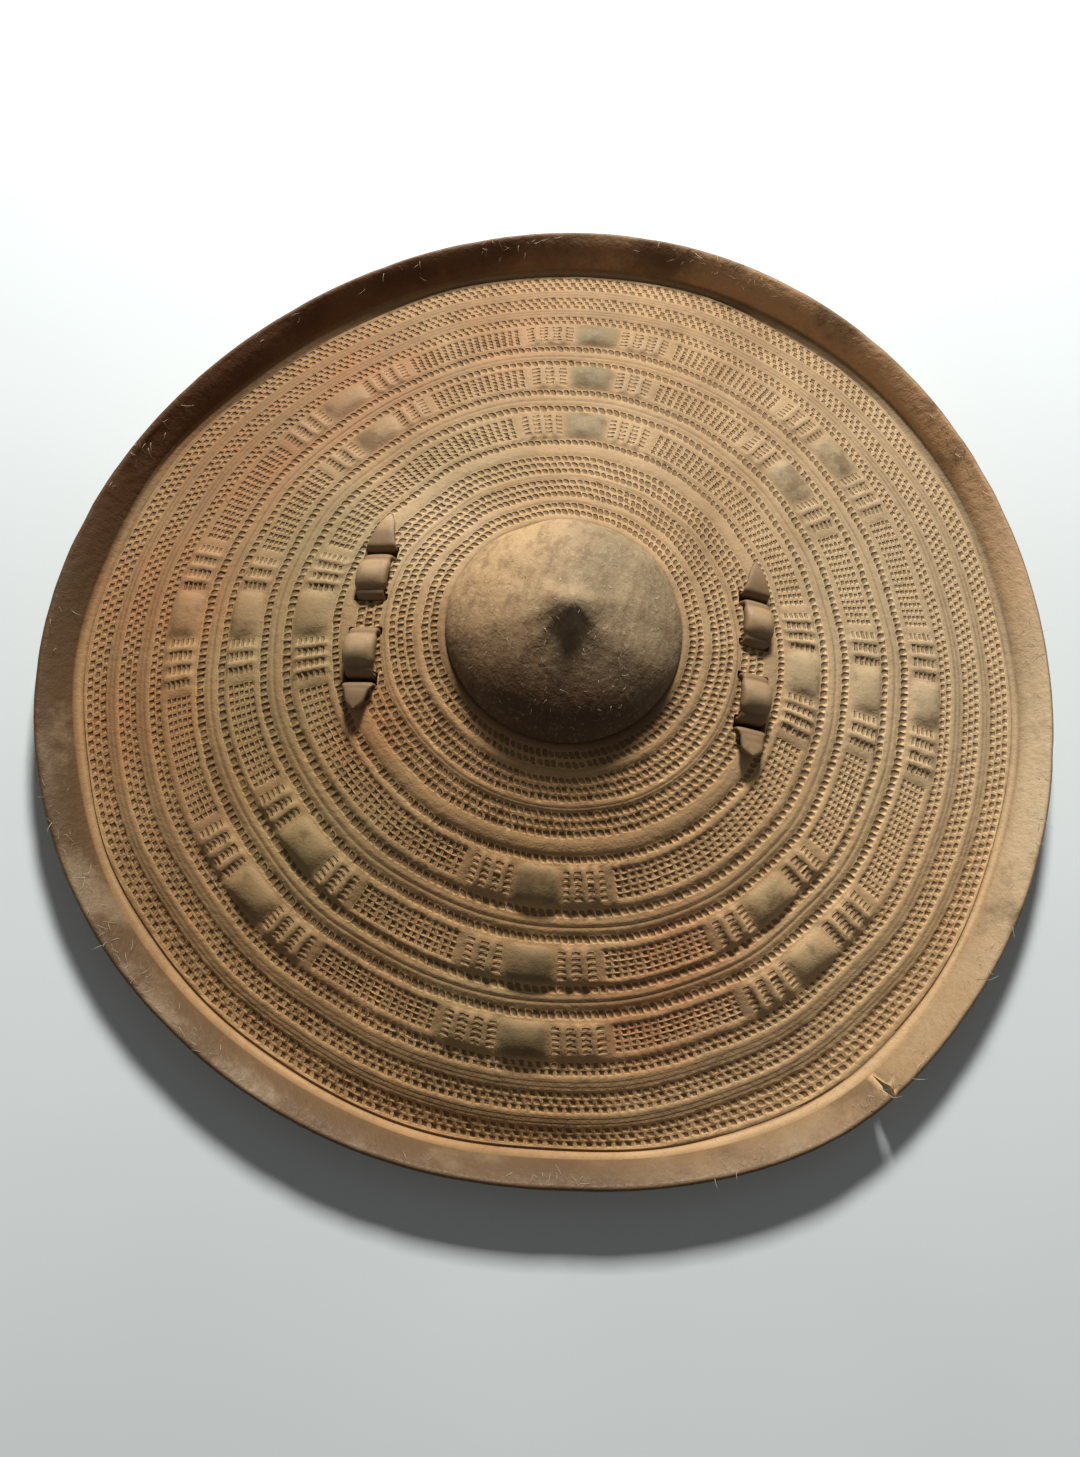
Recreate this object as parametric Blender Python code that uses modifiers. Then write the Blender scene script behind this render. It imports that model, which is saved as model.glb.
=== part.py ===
"""A round tooled hide shield, lying face up.

One disc of thick hide with a domed boss, a shallow cone-shaped field and a
turned-up rim, and two hide straps laced through slits in the field.
Metres, +Z up. The shield rests on the lowest ring of its underside at z = 0,
and the middle of its box is the origin.
"""

import math

import bmesh
import bpy
from mathutils import Matrix, Vector

MM = 0.001

# Hide disc: radii from the axis of the boss, heights from the level of the lip
LIP_RADIUS = 270.0 * MM
LIP_LEVEL = 0.0
FOOT_RADIUS = 253.1 * MM
FOOT_LEVEL = -15.4 * MM
BOSS_RADIUS = 58.8 * MM
BOSS_FOOT_LEVEL = 48.2 * MM
FIELD_BEND_RADIUS = 145.4 * MM
FIELD_BEND_LEVEL = 19.0 * MM
HIDE_THICKNESS = 5.0 * MM
LIP_THICKNESS = 3.6 * MM
TURNED_STEPS = 60

# Boss: a dome with a small pointed knob on top
DOME_RISE = 27.5 * MM
DOME_SHOULDER = 1.6
DOME_ROUNDNESS = 0.58
KNOB_RISE = 8.3 * MM
KNOB_RADIUS = 9.5 * MM

# Ring that the shield rests on
REST_RING_WIDTH = 8.0 * MM
REST_RING_EXTRA = 1.2 * MM

# Smooth ridges round the field
DOUBLE_RIDGE_RADII = (145.4 * MM, 179.9 * MM)
DOUBLE_RIDGE_HALF_WIDTH = 4.2 * MM
DOUBLE_RIDGE_HEIGHT = 1.5 * MM
DOUBLE_RIDGE_GROOVE = 0.3 * MM
BROAD_RIDGE_RADIUS = 107.8 * MM
BROAD_RIDGE_HALF_WIDTH = 3.4 * MM
BROAD_RIDGE_HEIGHT = 1.2 * MM
FINE_RIDGE_RADII = (72.5 * MM, 89.0 * MM)
FINE_RIDGE_HALF_WIDTH = 2.2 * MM
FINE_RIDGE_HEIGHT = 0.9 * MM

# Raised panels, with a comb of ribs on both sides of each
PANEL_START_ANGLE = 8.0
PANEL_RISE = 1.9 * MM
PANEL_EDGE = 1.5 * MM
RIB_RISE = 1.2 * MM
RIB_VALLEY = 0.2 * MM
RIB_TOP_SHARE = 0.4
RIB_END_GAP = 0.5 * MM
RELIEF_ROOT = 2.5 * MM
# radius, panel length round the ring, band width and rib pitch
OUTER_BAND = (198.5 * MM, 27.5 * MM, 18.0 * MM, 8.3 * MM)
MIDDLE_BAND = (163.0 * MM, 26.5 * MM, 18.0 * MM, 8.6 * MM)
INNER_BAND = (127.5 * MM, 25.5 * MM, 17.0 * MM, 6.6 * MM)
# panels in a turn and ribs on each side of a panel, for the outer, middle and inner band
PANEL_COUNTS = (8, 8, 4)
RIB_COUNTS = (3, 2, 3)

# Straps: each is laced through two groups of slits and arches behind the hide
STRAP_RADIUS = 98.0 * MM
STRAP_ANGLES = {"strap_right": 8.0, "strap_left": 188.0}
STRAP_WIDTH = 17.0 * MM
STRAP_THICKNESS = 3.0 * MM
STRAP_BEND = 3.0 * MM
STRAP_CROWN = 0.85 * MM
STRAP_CROWN_HALF = 4.0 * MM
STRAP_LIFT = 0.5 * MM
INNER_SLIT_AT = 9.0 * MM
OUTER_SLIT_AT = 31.5 * MM
SLIT_CLEARANCE = 0.6 * MM
SLIT_TOOL_DEPTH = 30.0 * MM
ARCH_START = 7.0 * MM
ARCH_DEPTH = 30.0 * MM
ARCH_STEPS = 9
TONGUE_THICKNESS = 2.4 * MM
TONGUE_WIDTH = 16.0 * MM
TONGUE_SPACING = 5.1 * MM
TONGUE_OVERLAP = 9.0 * MM
TAIL_LENGTH = 19.0 * MM
TAIL_TIP_WIDTH = 2.5 * MM
TAIL_LIFT = 1.6 * MM
RETURN_GAP = 4.0 * MM

# Crack in the rim
CRACK_ANGLE = 320.0
CRACK_INNER_RADIUS = 261.0 * MM
CRACK_WIDTH = 4.6 * MM
CRACK_LEAN = 1.2 * MM
CRACK_TOOL_REACH = 14.0 * MM
CRACK_TOOL_DEPTH = 110.0 * MM

# Out-of-round of the dried hide, at five radii from the boss to the lip:
# drift of the ring's centre, and the radial swing of its two- and three-lobed parts
WARP_RADII = (BOSS_RADIUS, 145.0 * MM, 180.0 * MM, FOOT_RADIUS, LIP_RADIUS)
WARP_DRIFT_X = (-2.6 * MM, -1.7 * MM, -0.3 * MM, 3.3 * MM, 2.5 * MM)
WARP_TWO_COS = (0.1 * MM, 0.4 * MM, -0.5 * MM, -0.4 * MM, -0.7 * MM)
WARP_TWO_SIN = (0.1 * MM, 0.0 * MM, 1.4 * MM, 2.8 * MM, 2.9 * MM)
WARP_THREE_COS = (-0.3 * MM, -0.6 * MM, -0.6 * MM, -2.1 * MM, -2.0 * MM)
WARP_THREE_SIN = (0.0 * MM, -2.0 * MM, -2.1 * MM, -2.8 * MM, -4.2 * MM)
# Places where the rim stands out or is drawn in: angle and spread in degrees, and size
RIM_SWELL_ANGLES = (315.0, 282.0)
RIM_SWELL_SPREADS = (9.0, 11.0)
RIM_SWELL_SIZES = (3.6 * MM, -3.0 * MM)
SWELL_WIDTH = 16.0 * MM

SHARP_ANGLE = math.radians(50.0)
WELD = 0.00001


def between(value, knots, heights):
    """Straight-line reading of heights given at rising knots."""
    if value <= knots[0]:
        return heights[0]
    for low, high, start, end in zip(knots, knots[1:], heights, heights[1:]):
        if value <= high:
            return start + (end - start) * (value - low) / (high - low)
    return heights[-1]


def field_level(radius):
    """Height of the field's plain front surface."""
    knots = (BOSS_RADIUS, FIELD_BEND_RADIUS, FOOT_RADIUS)
    heights = (BOSS_FOOT_LEVEL, FIELD_BEND_LEVEL, FOOT_LEVEL)
    if radius < BOSS_RADIUS:
        slope = (heights[0] - heights[1]) / (knots[1] - knots[0])
        return heights[0] + slope * (BOSS_RADIUS - radius)
    return between(radius, knots, heights)


def field_slope():
    """Fall of the field for each metre outwards, near the straps."""
    return (BOSS_FOOT_LEVEL - FIELD_BEND_LEVEL) / (FIELD_BEND_RADIUS - BOSS_RADIUS)


def dome_rise(radius, reach, rise):
    """Height of a dome of the given reach above its foot."""
    share = min(radius / reach, 1.0)
    return rise * (1.0 - share ** DOME_SHOULDER) ** DOME_ROUNDNESS


def boss_level(radius):
    """Height of the boss's outer surface: the dome and its knob."""
    knob = KNOB_RISE * math.exp(-((radius / KNOB_RADIUS) ** 2))
    return BOSS_FOOT_LEVEL + dome_rise(radius, BOSS_RADIUS, DOME_RISE) + knob


def on_profile(radius, half_width, shape):
    """Profile points of a ridge: places across it, as shares of its half width, and heights."""
    places = [(radius + across * half_width, up) for across, up in shape]
    return [(place, field_level(place) + up) for place, up in places]


def fine_ridge(radius):
    """A single round ridge."""
    shape = ((-1.0, 0.0), (0.0, FINE_RIDGE_HEIGHT), (1.0, 0.0))
    return on_profile(radius, FINE_RIDGE_HALF_WIDTH, shape)


def broad_ridge(radius):
    """A flat-topped ridge."""
    flat = 0.45
    shape = ((-1.0, 0.0), (-flat, BROAD_RIDGE_HEIGHT), (flat, BROAD_RIDGE_HEIGHT), (1.0, 0.0))
    return on_profile(radius, BROAD_RIDGE_HALF_WIDTH, shape)


def double_ridge(radius):
    """Two ridges with a groove between them."""
    crest = 0.5
    shape = ((-1.0, 0.0), (-crest, DOUBLE_RIDGE_HEIGHT), (0.0, DOUBLE_RIDGE_GROOVE),
             (crest, DOUBLE_RIDGE_HEIGHT), (1.0, 0.0))
    return on_profile(radius, DOUBLE_RIDGE_HALF_WIDTH, shape)


def front_profile():
    """Front of the hide, from the knob's tip to the lip."""
    boss_shares = (0.0, 0.07, 0.15, 0.23, 0.33, 0.55, 0.75, 0.90, 0.98)
    points = [(share * BOSS_RADIUS, boss_level(share * BOSS_RADIUS)) for share in boss_shares]
    points.append((BOSS_RADIUS, BOSS_FOOT_LEVEL))
    for radius in FINE_RIDGE_RADII:
        points += fine_ridge(radius)
    points += broad_ridge(BROAD_RIDGE_RADIUS)
    for radius in DOUBLE_RIDGE_RADII:
        points += double_ridge(radius)
    points.append((FOOT_RADIUS, FOOT_LEVEL))
    points += rim_front()
    return points


def rim_direction():
    """Unit vectors along the rim's slope and square to it, out and down."""
    along = Vector((LIP_RADIUS - FOOT_RADIUS, LIP_LEVEL - FOOT_LEVEL)).normalized()
    return along, Vector((along.y, -along.x))


def rim_front():
    """The rim's front and its rounded lip; the lip reaches LIP_RADIUS at the most."""
    along, outward = rim_direction()
    lip = Vector((LIP_RADIUS, LIP_LEVEL)) - outward * LIP_THICKNESS * 0.4
    shape = ((-0.9, 0.0), (-0.25, 0.12), (0.0, 0.5), (-0.25, 0.88))
    return [tuple(lip + (along * back + outward * across) * LIP_THICKNESS) for back, across in shape]


def back_profile():
    """Underside of the hide, from the lip to the axis."""
    along, outward = rim_direction()
    fall = field_slope()
    drop = HIDE_THICKNESS * math.hypot(1.0, fall)
    foot = Vector((FOOT_RADIUS, FOOT_LEVEL)) + outward * HIDE_THICKNESS
    rest = rest_level()
    rest_outer = FOOT_RADIUS + 0.2 * REST_RING_WIDTH
    rest_inner = rest_outer - REST_RING_WIDTH
    inner_field = rest_inner - REST_RING_WIDTH
    hollow = BOSS_RADIUS - HIDE_THICKNESS
    hollow_foot = field_level(hollow) - drop
    hollow_rise = boss_level(0.0) - KNOB_RISE - HIDE_THICKNESS - hollow_foot
    points = [(foot.x + 0.6 * along.x * HIDE_THICKNESS, foot.y + 0.6 * along.y * HIDE_THICKNESS)]
    points += [(rest_outer, rest), (rest_inner, rest)]
    points += [(inner_field, field_level(inner_field) - drop)]
    points += [(FIELD_BEND_RADIUS, FIELD_BEND_LEVEL - drop)]
    points += [(hollow, hollow_foot)]
    hollow_shares = (0.95, 0.80, 0.55, 0.25, 0.0)
    points += [(share * hollow, hollow_foot + dome_rise(share * hollow, hollow, hollow_rise))
               for share in hollow_shares]
    return points


def rest_level():
    """Height of the ring that the shield rests on, below the lip's level."""
    drop = HIDE_THICKNESS * math.hypot(1.0, field_slope())
    return FOOT_LEVEL - drop + 0.5 * REST_RING_EXTRA


def warp(point):
    """Push a point of the true disc to where the dried hide has gone."""
    radius = math.hypot(point.x, point.y)
    angle = math.atan2(point.y, point.x)
    swing = (between(radius, WARP_RADII, WARP_TWO_COS) * math.cos(2.0 * angle)
             + between(radius, WARP_RADII, WARP_TWO_SIN) * math.sin(2.0 * angle)
             + between(radius, WARP_RADII, WARP_THREE_COS) * math.cos(3.0 * angle)
             + between(radius, WARP_RADII, WARP_THREE_SIN) * math.sin(3.0 * angle))
    near_rim = min(max((radius - FOOT_RADIUS + SWELL_WIDTH) / SWELL_WIDTH, 0.0), 1.0)
    for place, spread, size in zip(RIM_SWELL_ANGLES, RIM_SWELL_SPREADS, RIM_SWELL_SIZES):
        off = math.degrees(math.remainder(angle - math.radians(place), math.tau))
        swing += near_rim * size * math.exp(-0.5 * (off / spread) ** 2)
    swing *= min(radius / BOSS_RADIUS, 1.0)
    drift = between(radius, WARP_RADII, WARP_DRIFT_X)
    reach = radius + swing
    return Vector((reach * math.cos(angle) + drift, reach * math.sin(angle), point.z))


def warp_mesh(mesh):
    """Warp every point of a mesh."""
    for vertex in mesh.vertices:
        vertex.co = warp(vertex.co)


def new_collection(name):
    collection = bpy.data.collections.new(name)
    bpy.context.scene.collection.children.link(collection)
    return collection


def new_object(name, mesh, collection):
    piece = bpy.data.objects.new(name, mesh)
    collection.objects.link(piece)
    return piece


def evaluated_mesh(piece):
    """A plain copy of what an object's modifiers make."""
    bpy.context.view_layer.update()
    graph = bpy.context.evaluated_depsgraph_get()
    return bpy.data.meshes.new_from_object(piece.evaluated_get(graph))


def plain_copy(piece, name, collection):
    """Swap an object for a welded mesh of itself, with its faces pointing out."""
    mesh = evaluated_mesh(piece)
    mesh.transform(piece.matrix_world)
    shape = bmesh.new()
    shape.from_mesh(mesh)
    bmesh.ops.remove_doubles(shape, verts=shape.verts, dist=WELD)
    bmesh.ops.recalc_face_normals(shape, faces=shape.faces)
    shape.to_mesh(mesh)
    shape.free()
    bpy.data.objects.remove(piece)
    return new_object(name, mesh, collection)


def make_cutter(piece):
    """Keep a helper shape out of the finished model."""
    piece.hide_render = True
    piece.display_type = "WIRE"


def cut(piece, name, tool, operation):
    """Join a tool to a piece or take it away."""
    modifier = piece.modifiers.new(name, "BOOLEAN")
    modifier.operation = operation
    modifier.object = tool
    modifier.solver = "EXACT"


def material(name, colour, roughness):
    made = bpy.data.materials.new(name)
    made.use_nodes = True
    shader = made.node_tree.nodes["Principled BSDF"]
    shader.inputs["Base Color"].default_value = (*colour, 1.0)
    shader.inputs["Roughness"].default_value = roughness
    shader.inputs["Metallic"].default_value = 0.0
    return made


def shade(mesh, finish):
    mesh.materials.clear()
    mesh.materials.append(finish)
    mesh.shade_smooth()
    mesh.set_sharp_from_angle(angle=SHARP_ANGLE)


def turned_disc(collection):
    """The hide's profile turned about the axis of the boss."""
    profile = front_profile() + back_profile()
    mesh = bpy.data.meshes.new("hide_profile")
    edges = [(index, index + 1) for index in range(len(profile) - 1)]
    mesh.from_pydata([(radius, 0.0, level) for radius, level in profile], edges, [])
    disc = new_object("hide_profile", mesh, collection)
    screw = disc.modifiers.new("turn", "SCREW")
    screw.axis = "Z"
    screw.steps = TURNED_STEPS
    screw.render_steps = TURNED_STEPS
    screw.use_merge_vertices = True
    screw.merge_threshold = WELD
    return plain_copy(disc, "hide", collection)


def field_frame(radius, degrees):
    """Axes on the field: x outwards down the slope, y round the ring, z off the hide."""
    fall = math.atan(field_slope())
    turn = Matrix.Rotation(math.radians(degrees), 4, "Z")
    tilt = Matrix.Rotation(fall, 4, "Y")
    return turn @ Matrix.Translation((radius, 0.0, field_level(radius))) @ tilt


def on_field(point, radius, degrees):
    """Bend a flat shape round the field: x outwards, y round the ring, z off the hide."""
    spot = field_frame(radius, 0.0) @ Vector((point.x, 0.0, point.z))
    return Matrix.Rotation(math.radians(degrees) + point.y / radius, 4, "Z") @ spot


def add_block(shape, radius, degrees, size, middle, edge):
    """Add a block with softened upper edges to a bmesh, bent round the field."""
    made = bmesh.ops.create_cube(shape, size=1.0)
    for vertex in made["verts"]:
        vertex.co = Vector(a * b + c for a, b, c in zip(vertex.co, size, middle))
    top = middle[2] + 0.5 * size[2]
    upper = {edge_ for vertex in made["verts"] for edge_ in vertex.link_edges
             if all(end.co.z > top - WELD for end in edge_.verts)}
    before = set(shape.verts) - set(made["verts"])
    bmesh.ops.bevel(shape, geom=list(upper), offset=edge, segments=1, profile=0.5, affect="EDGES")
    for vertex in set(shape.verts) - before:
        vertex.co = on_field(vertex.co, radius, degrees)


def flat_piece(name, outline, depth, collection):
    """A closed slab with a given outline in x and y, centred on z = 0."""
    curve = bpy.data.curves.new(name, "CURVE")
    curve.dimensions = "2D"
    curve.fill_mode = "BOTH"
    curve.extrude = 0.5 * depth
    spline = curve.splines.new("POLY")
    spline.points.add(len(outline) - 1)
    for point, (x, y) in zip(spline.points, outline):
        point.co = (x, y, 0.0, 1.0)
    spline.use_cyclic_u = True
    slab = bpy.data.objects.new(name, curve)
    collection.objects.link(slab)
    return plain_copy(slab, name, collection)


def comb_outline(ribs, pitch):
    """Section of a row of ribs: a flat root, and a flat-topped tooth for each rib."""
    length = ribs * pitch
    outline = [(-0.5 * length, -RELIEF_ROOT), (0.5 * length, -RELIEF_ROOT), (0.5 * length, RIB_VALLEY)]
    for index in reversed(range(ribs)):
        middle = (index + 0.5) * pitch - 0.5 * length
        half_top = 0.5 * RIB_TOP_SHARE * pitch
        outline += [(middle + half_top, RIB_RISE), (middle - half_top, RIB_RISE)]
        outline.append((middle - 0.5 * pitch, RIB_VALLEY))
    return outline


def raised_work(collection):
    """All raised panels and ribs, as one tool to be joined to the hide."""
    shape = bmesh.new()
    bands = (OUTER_BAND, MIDDLE_BAND, INNER_BAND)
    for (radius, length, width, pitch), count, ribs in zip(bands, PANEL_COUNTS, RIB_COUNTS):
        comb = flat_piece("comb", comb_outline(ribs, pitch), width - 2.0 * RIB_END_GAP, collection)
        comb_middle = 0.5 * length + RIB_END_GAP + 0.5 * ribs * pitch
        # the section's x runs round the ring, its y off the hide and its depth outwards
        stand = Matrix(((0, 0, 1, 0), (1, 0, 0, 0), (0, 1, 0, 0), (0, 0, 0, 1)))
        for index in range(count):
            angle = PANEL_START_ANGLE + index * 360.0 / count
            size = (width, length, PANEL_RISE + RELIEF_ROOT)
            middle = (0.0, 0.0, 0.5 * (PANEL_RISE - RELIEF_ROOT))
            add_block(shape, radius, angle, size, middle, PANEL_EDGE)
            for side in (-1.0, 1.0):
                turn = math.degrees(comb_middle / radius) * side
                copy = comb.data.copy()
                copy.transform(stand)
                for vertex in copy.vertices:
                    vertex.co = on_field(vertex.co, radius, angle + turn)
                shape.from_mesh(copy)
                bpy.data.meshes.remove(copy)
        bpy.data.objects.remove(comb)
    mesh = bpy.data.meshes.new("raised_work")
    shape.to_mesh(mesh)
    shape.free()
    return new_object("raised_work", mesh, collection)


def surface_drop(along):
    """How far the curved field falls below the strap's middle, at a distance along it."""
    fall = math.atan(field_slope())
    level = field_level(STRAP_RADIUS)
    drop = 0.0
    for _ in range(8):
        radius = math.hypot(STRAP_RADIUS + drop * math.sin(fall), along)
        drop = (field_level(radius) - level) / math.cos(fall)
    return drop


def quarter(centre, radius, start, end, steps=4):
    """Points on an arc about a centre, from one angle to another, in degrees."""
    points = []
    for index in range(steps + 1):
        angle = math.radians(start + (end - start) * index / steps)
        points.append((centre[0] + radius * math.cos(angle), centre[1] + radius * math.sin(angle)))
    return points


def strand_gap():
    """Height of the front strand's bend centre that clears the broad ridge."""
    return BROAD_RIDGE_HEIGHT + STRAP_LIFT + 0.5 * STRAP_THICKNESS - STRAP_BEND


def strap_half():
    """The strap's own route on its +y half, from the middle of the arch to the return."""
    bend = STRAP_BEND
    over = strand_gap()
    under = -HIDE_THICKNESS - strand_gap()
    arch_top = under - ARCH_START
    route = []
    for index in range(ARCH_STEPS + 1):
        angle = math.radians(-90.0 + 90.0 * index / ARCH_STEPS)
        route.append((OUTER_SLIT_AT * math.cos(angle), arch_top + ARCH_DEPTH * math.sin(angle)))
    route += quarter((OUTER_SLIT_AT - bend, over), bend, 0.0, 90.0)
    crown = 0.5 * (OUTER_SLIT_AT + INNER_SLIT_AT)
    route.append((crown + STRAP_CROWN_HALF, over + bend + STRAP_CROWN))
    route.append((crown - STRAP_CROWN_HALF, over + bend + STRAP_CROWN))
    route += quarter((INNER_SLIT_AT + bend, over), bend, 90.0, 180.0)
    route += quarter((INNER_SLIT_AT + bend, under), bend, 180.0, 270.0)
    route.append((OUTER_SLIT_AT - RETURN_GAP, under - bend))
    return route


def tongue_route():
    """The thinned end: on from the return, through the strap, up the slit and out along the front."""
    bend = STRAP_BEND
    over = strand_gap()
    under = -HIDE_THICKNESS - strand_gap()
    rise_at = OUTER_SLIT_AT + TONGUE_SPACING
    route = [(OUTER_SLIT_AT - RETURN_GAP - TONGUE_OVERLAP, under - bend)]
    route += quarter((rise_at - bend, under), bend, -90.0, 0.0)
    route += quarter((rise_at + bend, over), bend, 180.0, 90.0)
    tip = rise_at + bend + TAIL_LENGTH
    route.append((0.5 * (rise_at + bend + tip), over + bend))
    route.append((tip, over + bend + TAIL_LIFT))
    return route


def tongue_width(along):
    """Half width of the tongue, which tapers to the tip past its slit."""
    start = OUTER_SLIT_AT + TONGUE_SPACING + 0.5 * STRAP_BEND
    end = OUTER_SLIT_AT + TONGUE_SPACING + STRAP_BEND + TAIL_LENGTH
    share = min(max((along - start) / (end - start), 0.0), 1.0)
    return 0.5 * (TONGUE_WIDTH + (TAIL_TIP_WIDTH - TONGUE_WIDTH) * share)


def ribbon(name, route, half_width, thickness, mirror, frame, collection):
    """A strip along a route in the strap's plane, given its thickness by Solidify."""
    shape = bmesh.new()
    last = None
    for along, off in route:
        reach = half_width(abs(along))
        # the strap follows the curve of the field, less and less towards the arch
        follow = min(max((off + HIDE_THICKNESS + ARCH_START + ARCH_DEPTH) / ARCH_DEPTH, 0.0), 1.0)
        lift = off + surface_drop(along) * follow
        row = [shape.verts.new(frame @ Vector((across, along * mirror, lift)))
               for across in (-reach, reach)]
        if last:
            shape.faces.new((last[0], last[1], row[1], row[0]))
        last = row
    bmesh.ops.recalc_face_normals(shape, faces=shape.faces)
    mesh = bpy.data.meshes.new(name)
    shape.to_mesh(mesh)
    shape.free()
    strip = new_object(name, mesh, collection)
    solid = strip.modifiers.new("thickness", "SOLIDIFY")
    solid.thickness = thickness
    solid.offset = 0.0
    return plain_copy(strip, name, collection)


def strap(name, degrees, parts, tools, finish):
    """One strap with its two laced ends; each tongue passes through a slit in the strap."""
    frame = field_frame(STRAP_RADIUS, degrees)
    half = strap_half()
    route = [(-along, off) for along, off in reversed(half[1:])] + half
    piece = ribbon(name, route, lambda _: 0.5 * STRAP_WIDTH, STRAP_THICKNESS, 1.0, frame, parts)
    warp_mesh(piece.data)
    for mirror in (-1.0, 1.0):
        side = "upper" if mirror > 0.0 else "lower"
        tongue = ribbon(f"{name}_tongue_{side}", tongue_route(), tongue_width, TONGUE_THICKNESS,
                        mirror, frame, tools)
        warp_mesh(tongue.data)
        make_cutter(tongue)
        cut(piece, f"join_{side}", tongue, "UNION")
    shade(piece.data, finish)
    return piece


def slit_tools(collection):
    """Boxes for the eight slits, in line with the straps."""
    shape = bmesh.new()
    inner_half = 0.5 * STRAP_THICKNESS + SLIT_CLEARANCE
    outer_low = OUTER_SLIT_AT - inner_half
    outer_high = OUTER_SLIT_AT + TONGUE_SPACING + 0.5 * TONGUE_THICKNESS + SLIT_CLEARANCE
    spans = ((INNER_SLIT_AT - inner_half, INNER_SLIT_AT + inner_half), (outer_low, outer_high))
    for degrees in STRAP_ANGLES.values():
        frame = field_frame(STRAP_RADIUS, degrees)
        for low, high in spans:
            for mirror in (-1.0, 1.0):
                made = bmesh.ops.create_cube(shape, size=1.0)
                size = (STRAP_WIDTH + 2.0 * SLIT_CLEARANCE, high - low, SLIT_TOOL_DEPTH)
                middle = (0.0, mirror * 0.5 * (low + high), surface_drop(low))
                for vertex in made["verts"]:
                    spot = Vector(a * b + c for a, b, c in zip(vertex.co, size, middle))
                    vertex.co = frame @ spot
    mesh = bpy.data.meshes.new("slit_tools")
    shape.to_mesh(mesh)
    shape.free()
    warp_mesh(mesh)
    return new_object("slit_tools", mesh, collection)


def crack_tool(collection):
    """A leaning wedge that splits the rim from the lip inwards."""
    outer = LIP_RADIUS + CRACK_TOOL_REACH
    middle = 0.5 * (LIP_RADIUS + CRACK_INNER_RADIUS)
    outline = [(CRACK_INNER_RADIUS, 0.0), (middle, CRACK_LEAN - 0.3 * CRACK_WIDTH),
               (outer, -0.5 * CRACK_WIDTH), (outer, 0.5 * CRACK_WIDTH),
               (middle, CRACK_LEAN + 0.2 * CRACK_WIDTH)]
    tool = flat_piece("crack_tool", outline, CRACK_TOOL_DEPTH, collection)
    tool.data.transform(Matrix.Rotation(math.radians(CRACK_ANGLE), 4, "Z"))
    warp_mesh(tool.data)
    return tool


def build_hide(parts, tools, finish):
    """The disc with its raised work, its slits and the crack."""
    piece = turned_disc(parts)
    warp_mesh(piece.data)
    relief = raised_work(tools)
    warp_mesh(relief.data)
    slits = slit_tools(tools)
    crack = crack_tool(tools)
    cut(piece, "raised_work", relief, "UNION")
    cut(piece, "slits", slits, "DIFFERENCE")
    cut(piece, "crack", crack, "DIFFERENCE")
    for tool in (relief, slits, crack):
        make_cutter(tool)
    shade(piece.data, finish)
    return piece


def settle(hide, pieces):
    """Put the rest ring on z = 0 and the middle of the hide's box on the axis."""
    xs = [vertex.co.x for vertex in hide.data.vertices]
    ys = [vertex.co.y for vertex in hide.data.vertices]
    shift = Vector((-0.5 * (min(xs) + max(xs)), -0.5 * (min(ys) + max(ys)), -rest_level()))
    for piece in pieces:
        piece.data.transform(Matrix.Translation(shift))


def main():
    for old in list(bpy.data.objects):
        bpy.data.objects.remove(old)
    parts = new_collection("hide_shield")
    tools = new_collection("hide_shield_tools")
    hide_finish = material("tooled_hide", (0.36, 0.25, 0.13), 0.8)
    strap_finish = material("strap_hide", (0.28, 0.20, 0.12), 0.75)
    hide = build_hide(parts, tools, hide_finish)
    for name, degrees in STRAP_ANGLES.items():
        strap(name, degrees, parts, tools, strap_finish)
    settle(hide, list(parts.objects) + list(tools.objects))


main()
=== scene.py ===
"""A round tooled hide shield, lying face up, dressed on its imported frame.

The hide is one closed surface of rings. Its punch marks and stray hairs are made
with Geometry Nodes, and its finishes from nodes that read the surface's own marks.
"""

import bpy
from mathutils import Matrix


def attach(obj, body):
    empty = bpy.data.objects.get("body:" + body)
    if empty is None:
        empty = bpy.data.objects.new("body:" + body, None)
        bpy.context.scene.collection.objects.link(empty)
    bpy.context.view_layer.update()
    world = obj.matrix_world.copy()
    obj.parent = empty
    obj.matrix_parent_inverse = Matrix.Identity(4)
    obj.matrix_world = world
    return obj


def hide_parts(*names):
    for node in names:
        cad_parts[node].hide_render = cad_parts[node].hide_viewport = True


bl_info = {
    "name": "Tooled Hide Shield",
    "version": (1, 0, 0),
    "blender": (4, 5, 0),
    "location": "3D View > Sidebar > Hide Shield",
    "description": "Builds a round tooled hide shield on its packed frame",
    "category": "Add Mesh",
}

import math
import random
from functools import partial

import bmesh
import bpy
import numpy as np
from bpy.props import FloatProperty, FloatVectorProperty, IntProperty, PointerProperty
from mathutils import Matrix, Vector

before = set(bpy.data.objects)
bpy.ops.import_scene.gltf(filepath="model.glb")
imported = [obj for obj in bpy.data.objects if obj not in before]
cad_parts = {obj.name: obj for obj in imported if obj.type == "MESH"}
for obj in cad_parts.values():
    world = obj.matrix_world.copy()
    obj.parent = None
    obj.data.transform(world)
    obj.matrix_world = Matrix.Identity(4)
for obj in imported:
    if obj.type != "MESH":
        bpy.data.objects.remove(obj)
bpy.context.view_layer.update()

# Floor, light and camera, in metres, degrees and pixels of the photograph
FLOOR_RADIUS = 4.0
LIGHT_PLACE = (-0.36, 1.73, 1.18)
LIGHT_AIM = (0.0, 0.0, 0.04)
LIGHT_SIZE = (0.38, 0.28)
LIGHT_TONE = (1.0, 0.97, 0.915)
ROOM_TONE = (1.0, 0.97, 0.93, 1.0)
ROOM_STRENGTH = 0.125
CAMERA_REACH = 0.6437
CAMERA_HEIGHT = 70.320
CAMERA_ROLL = 13.806
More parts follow.
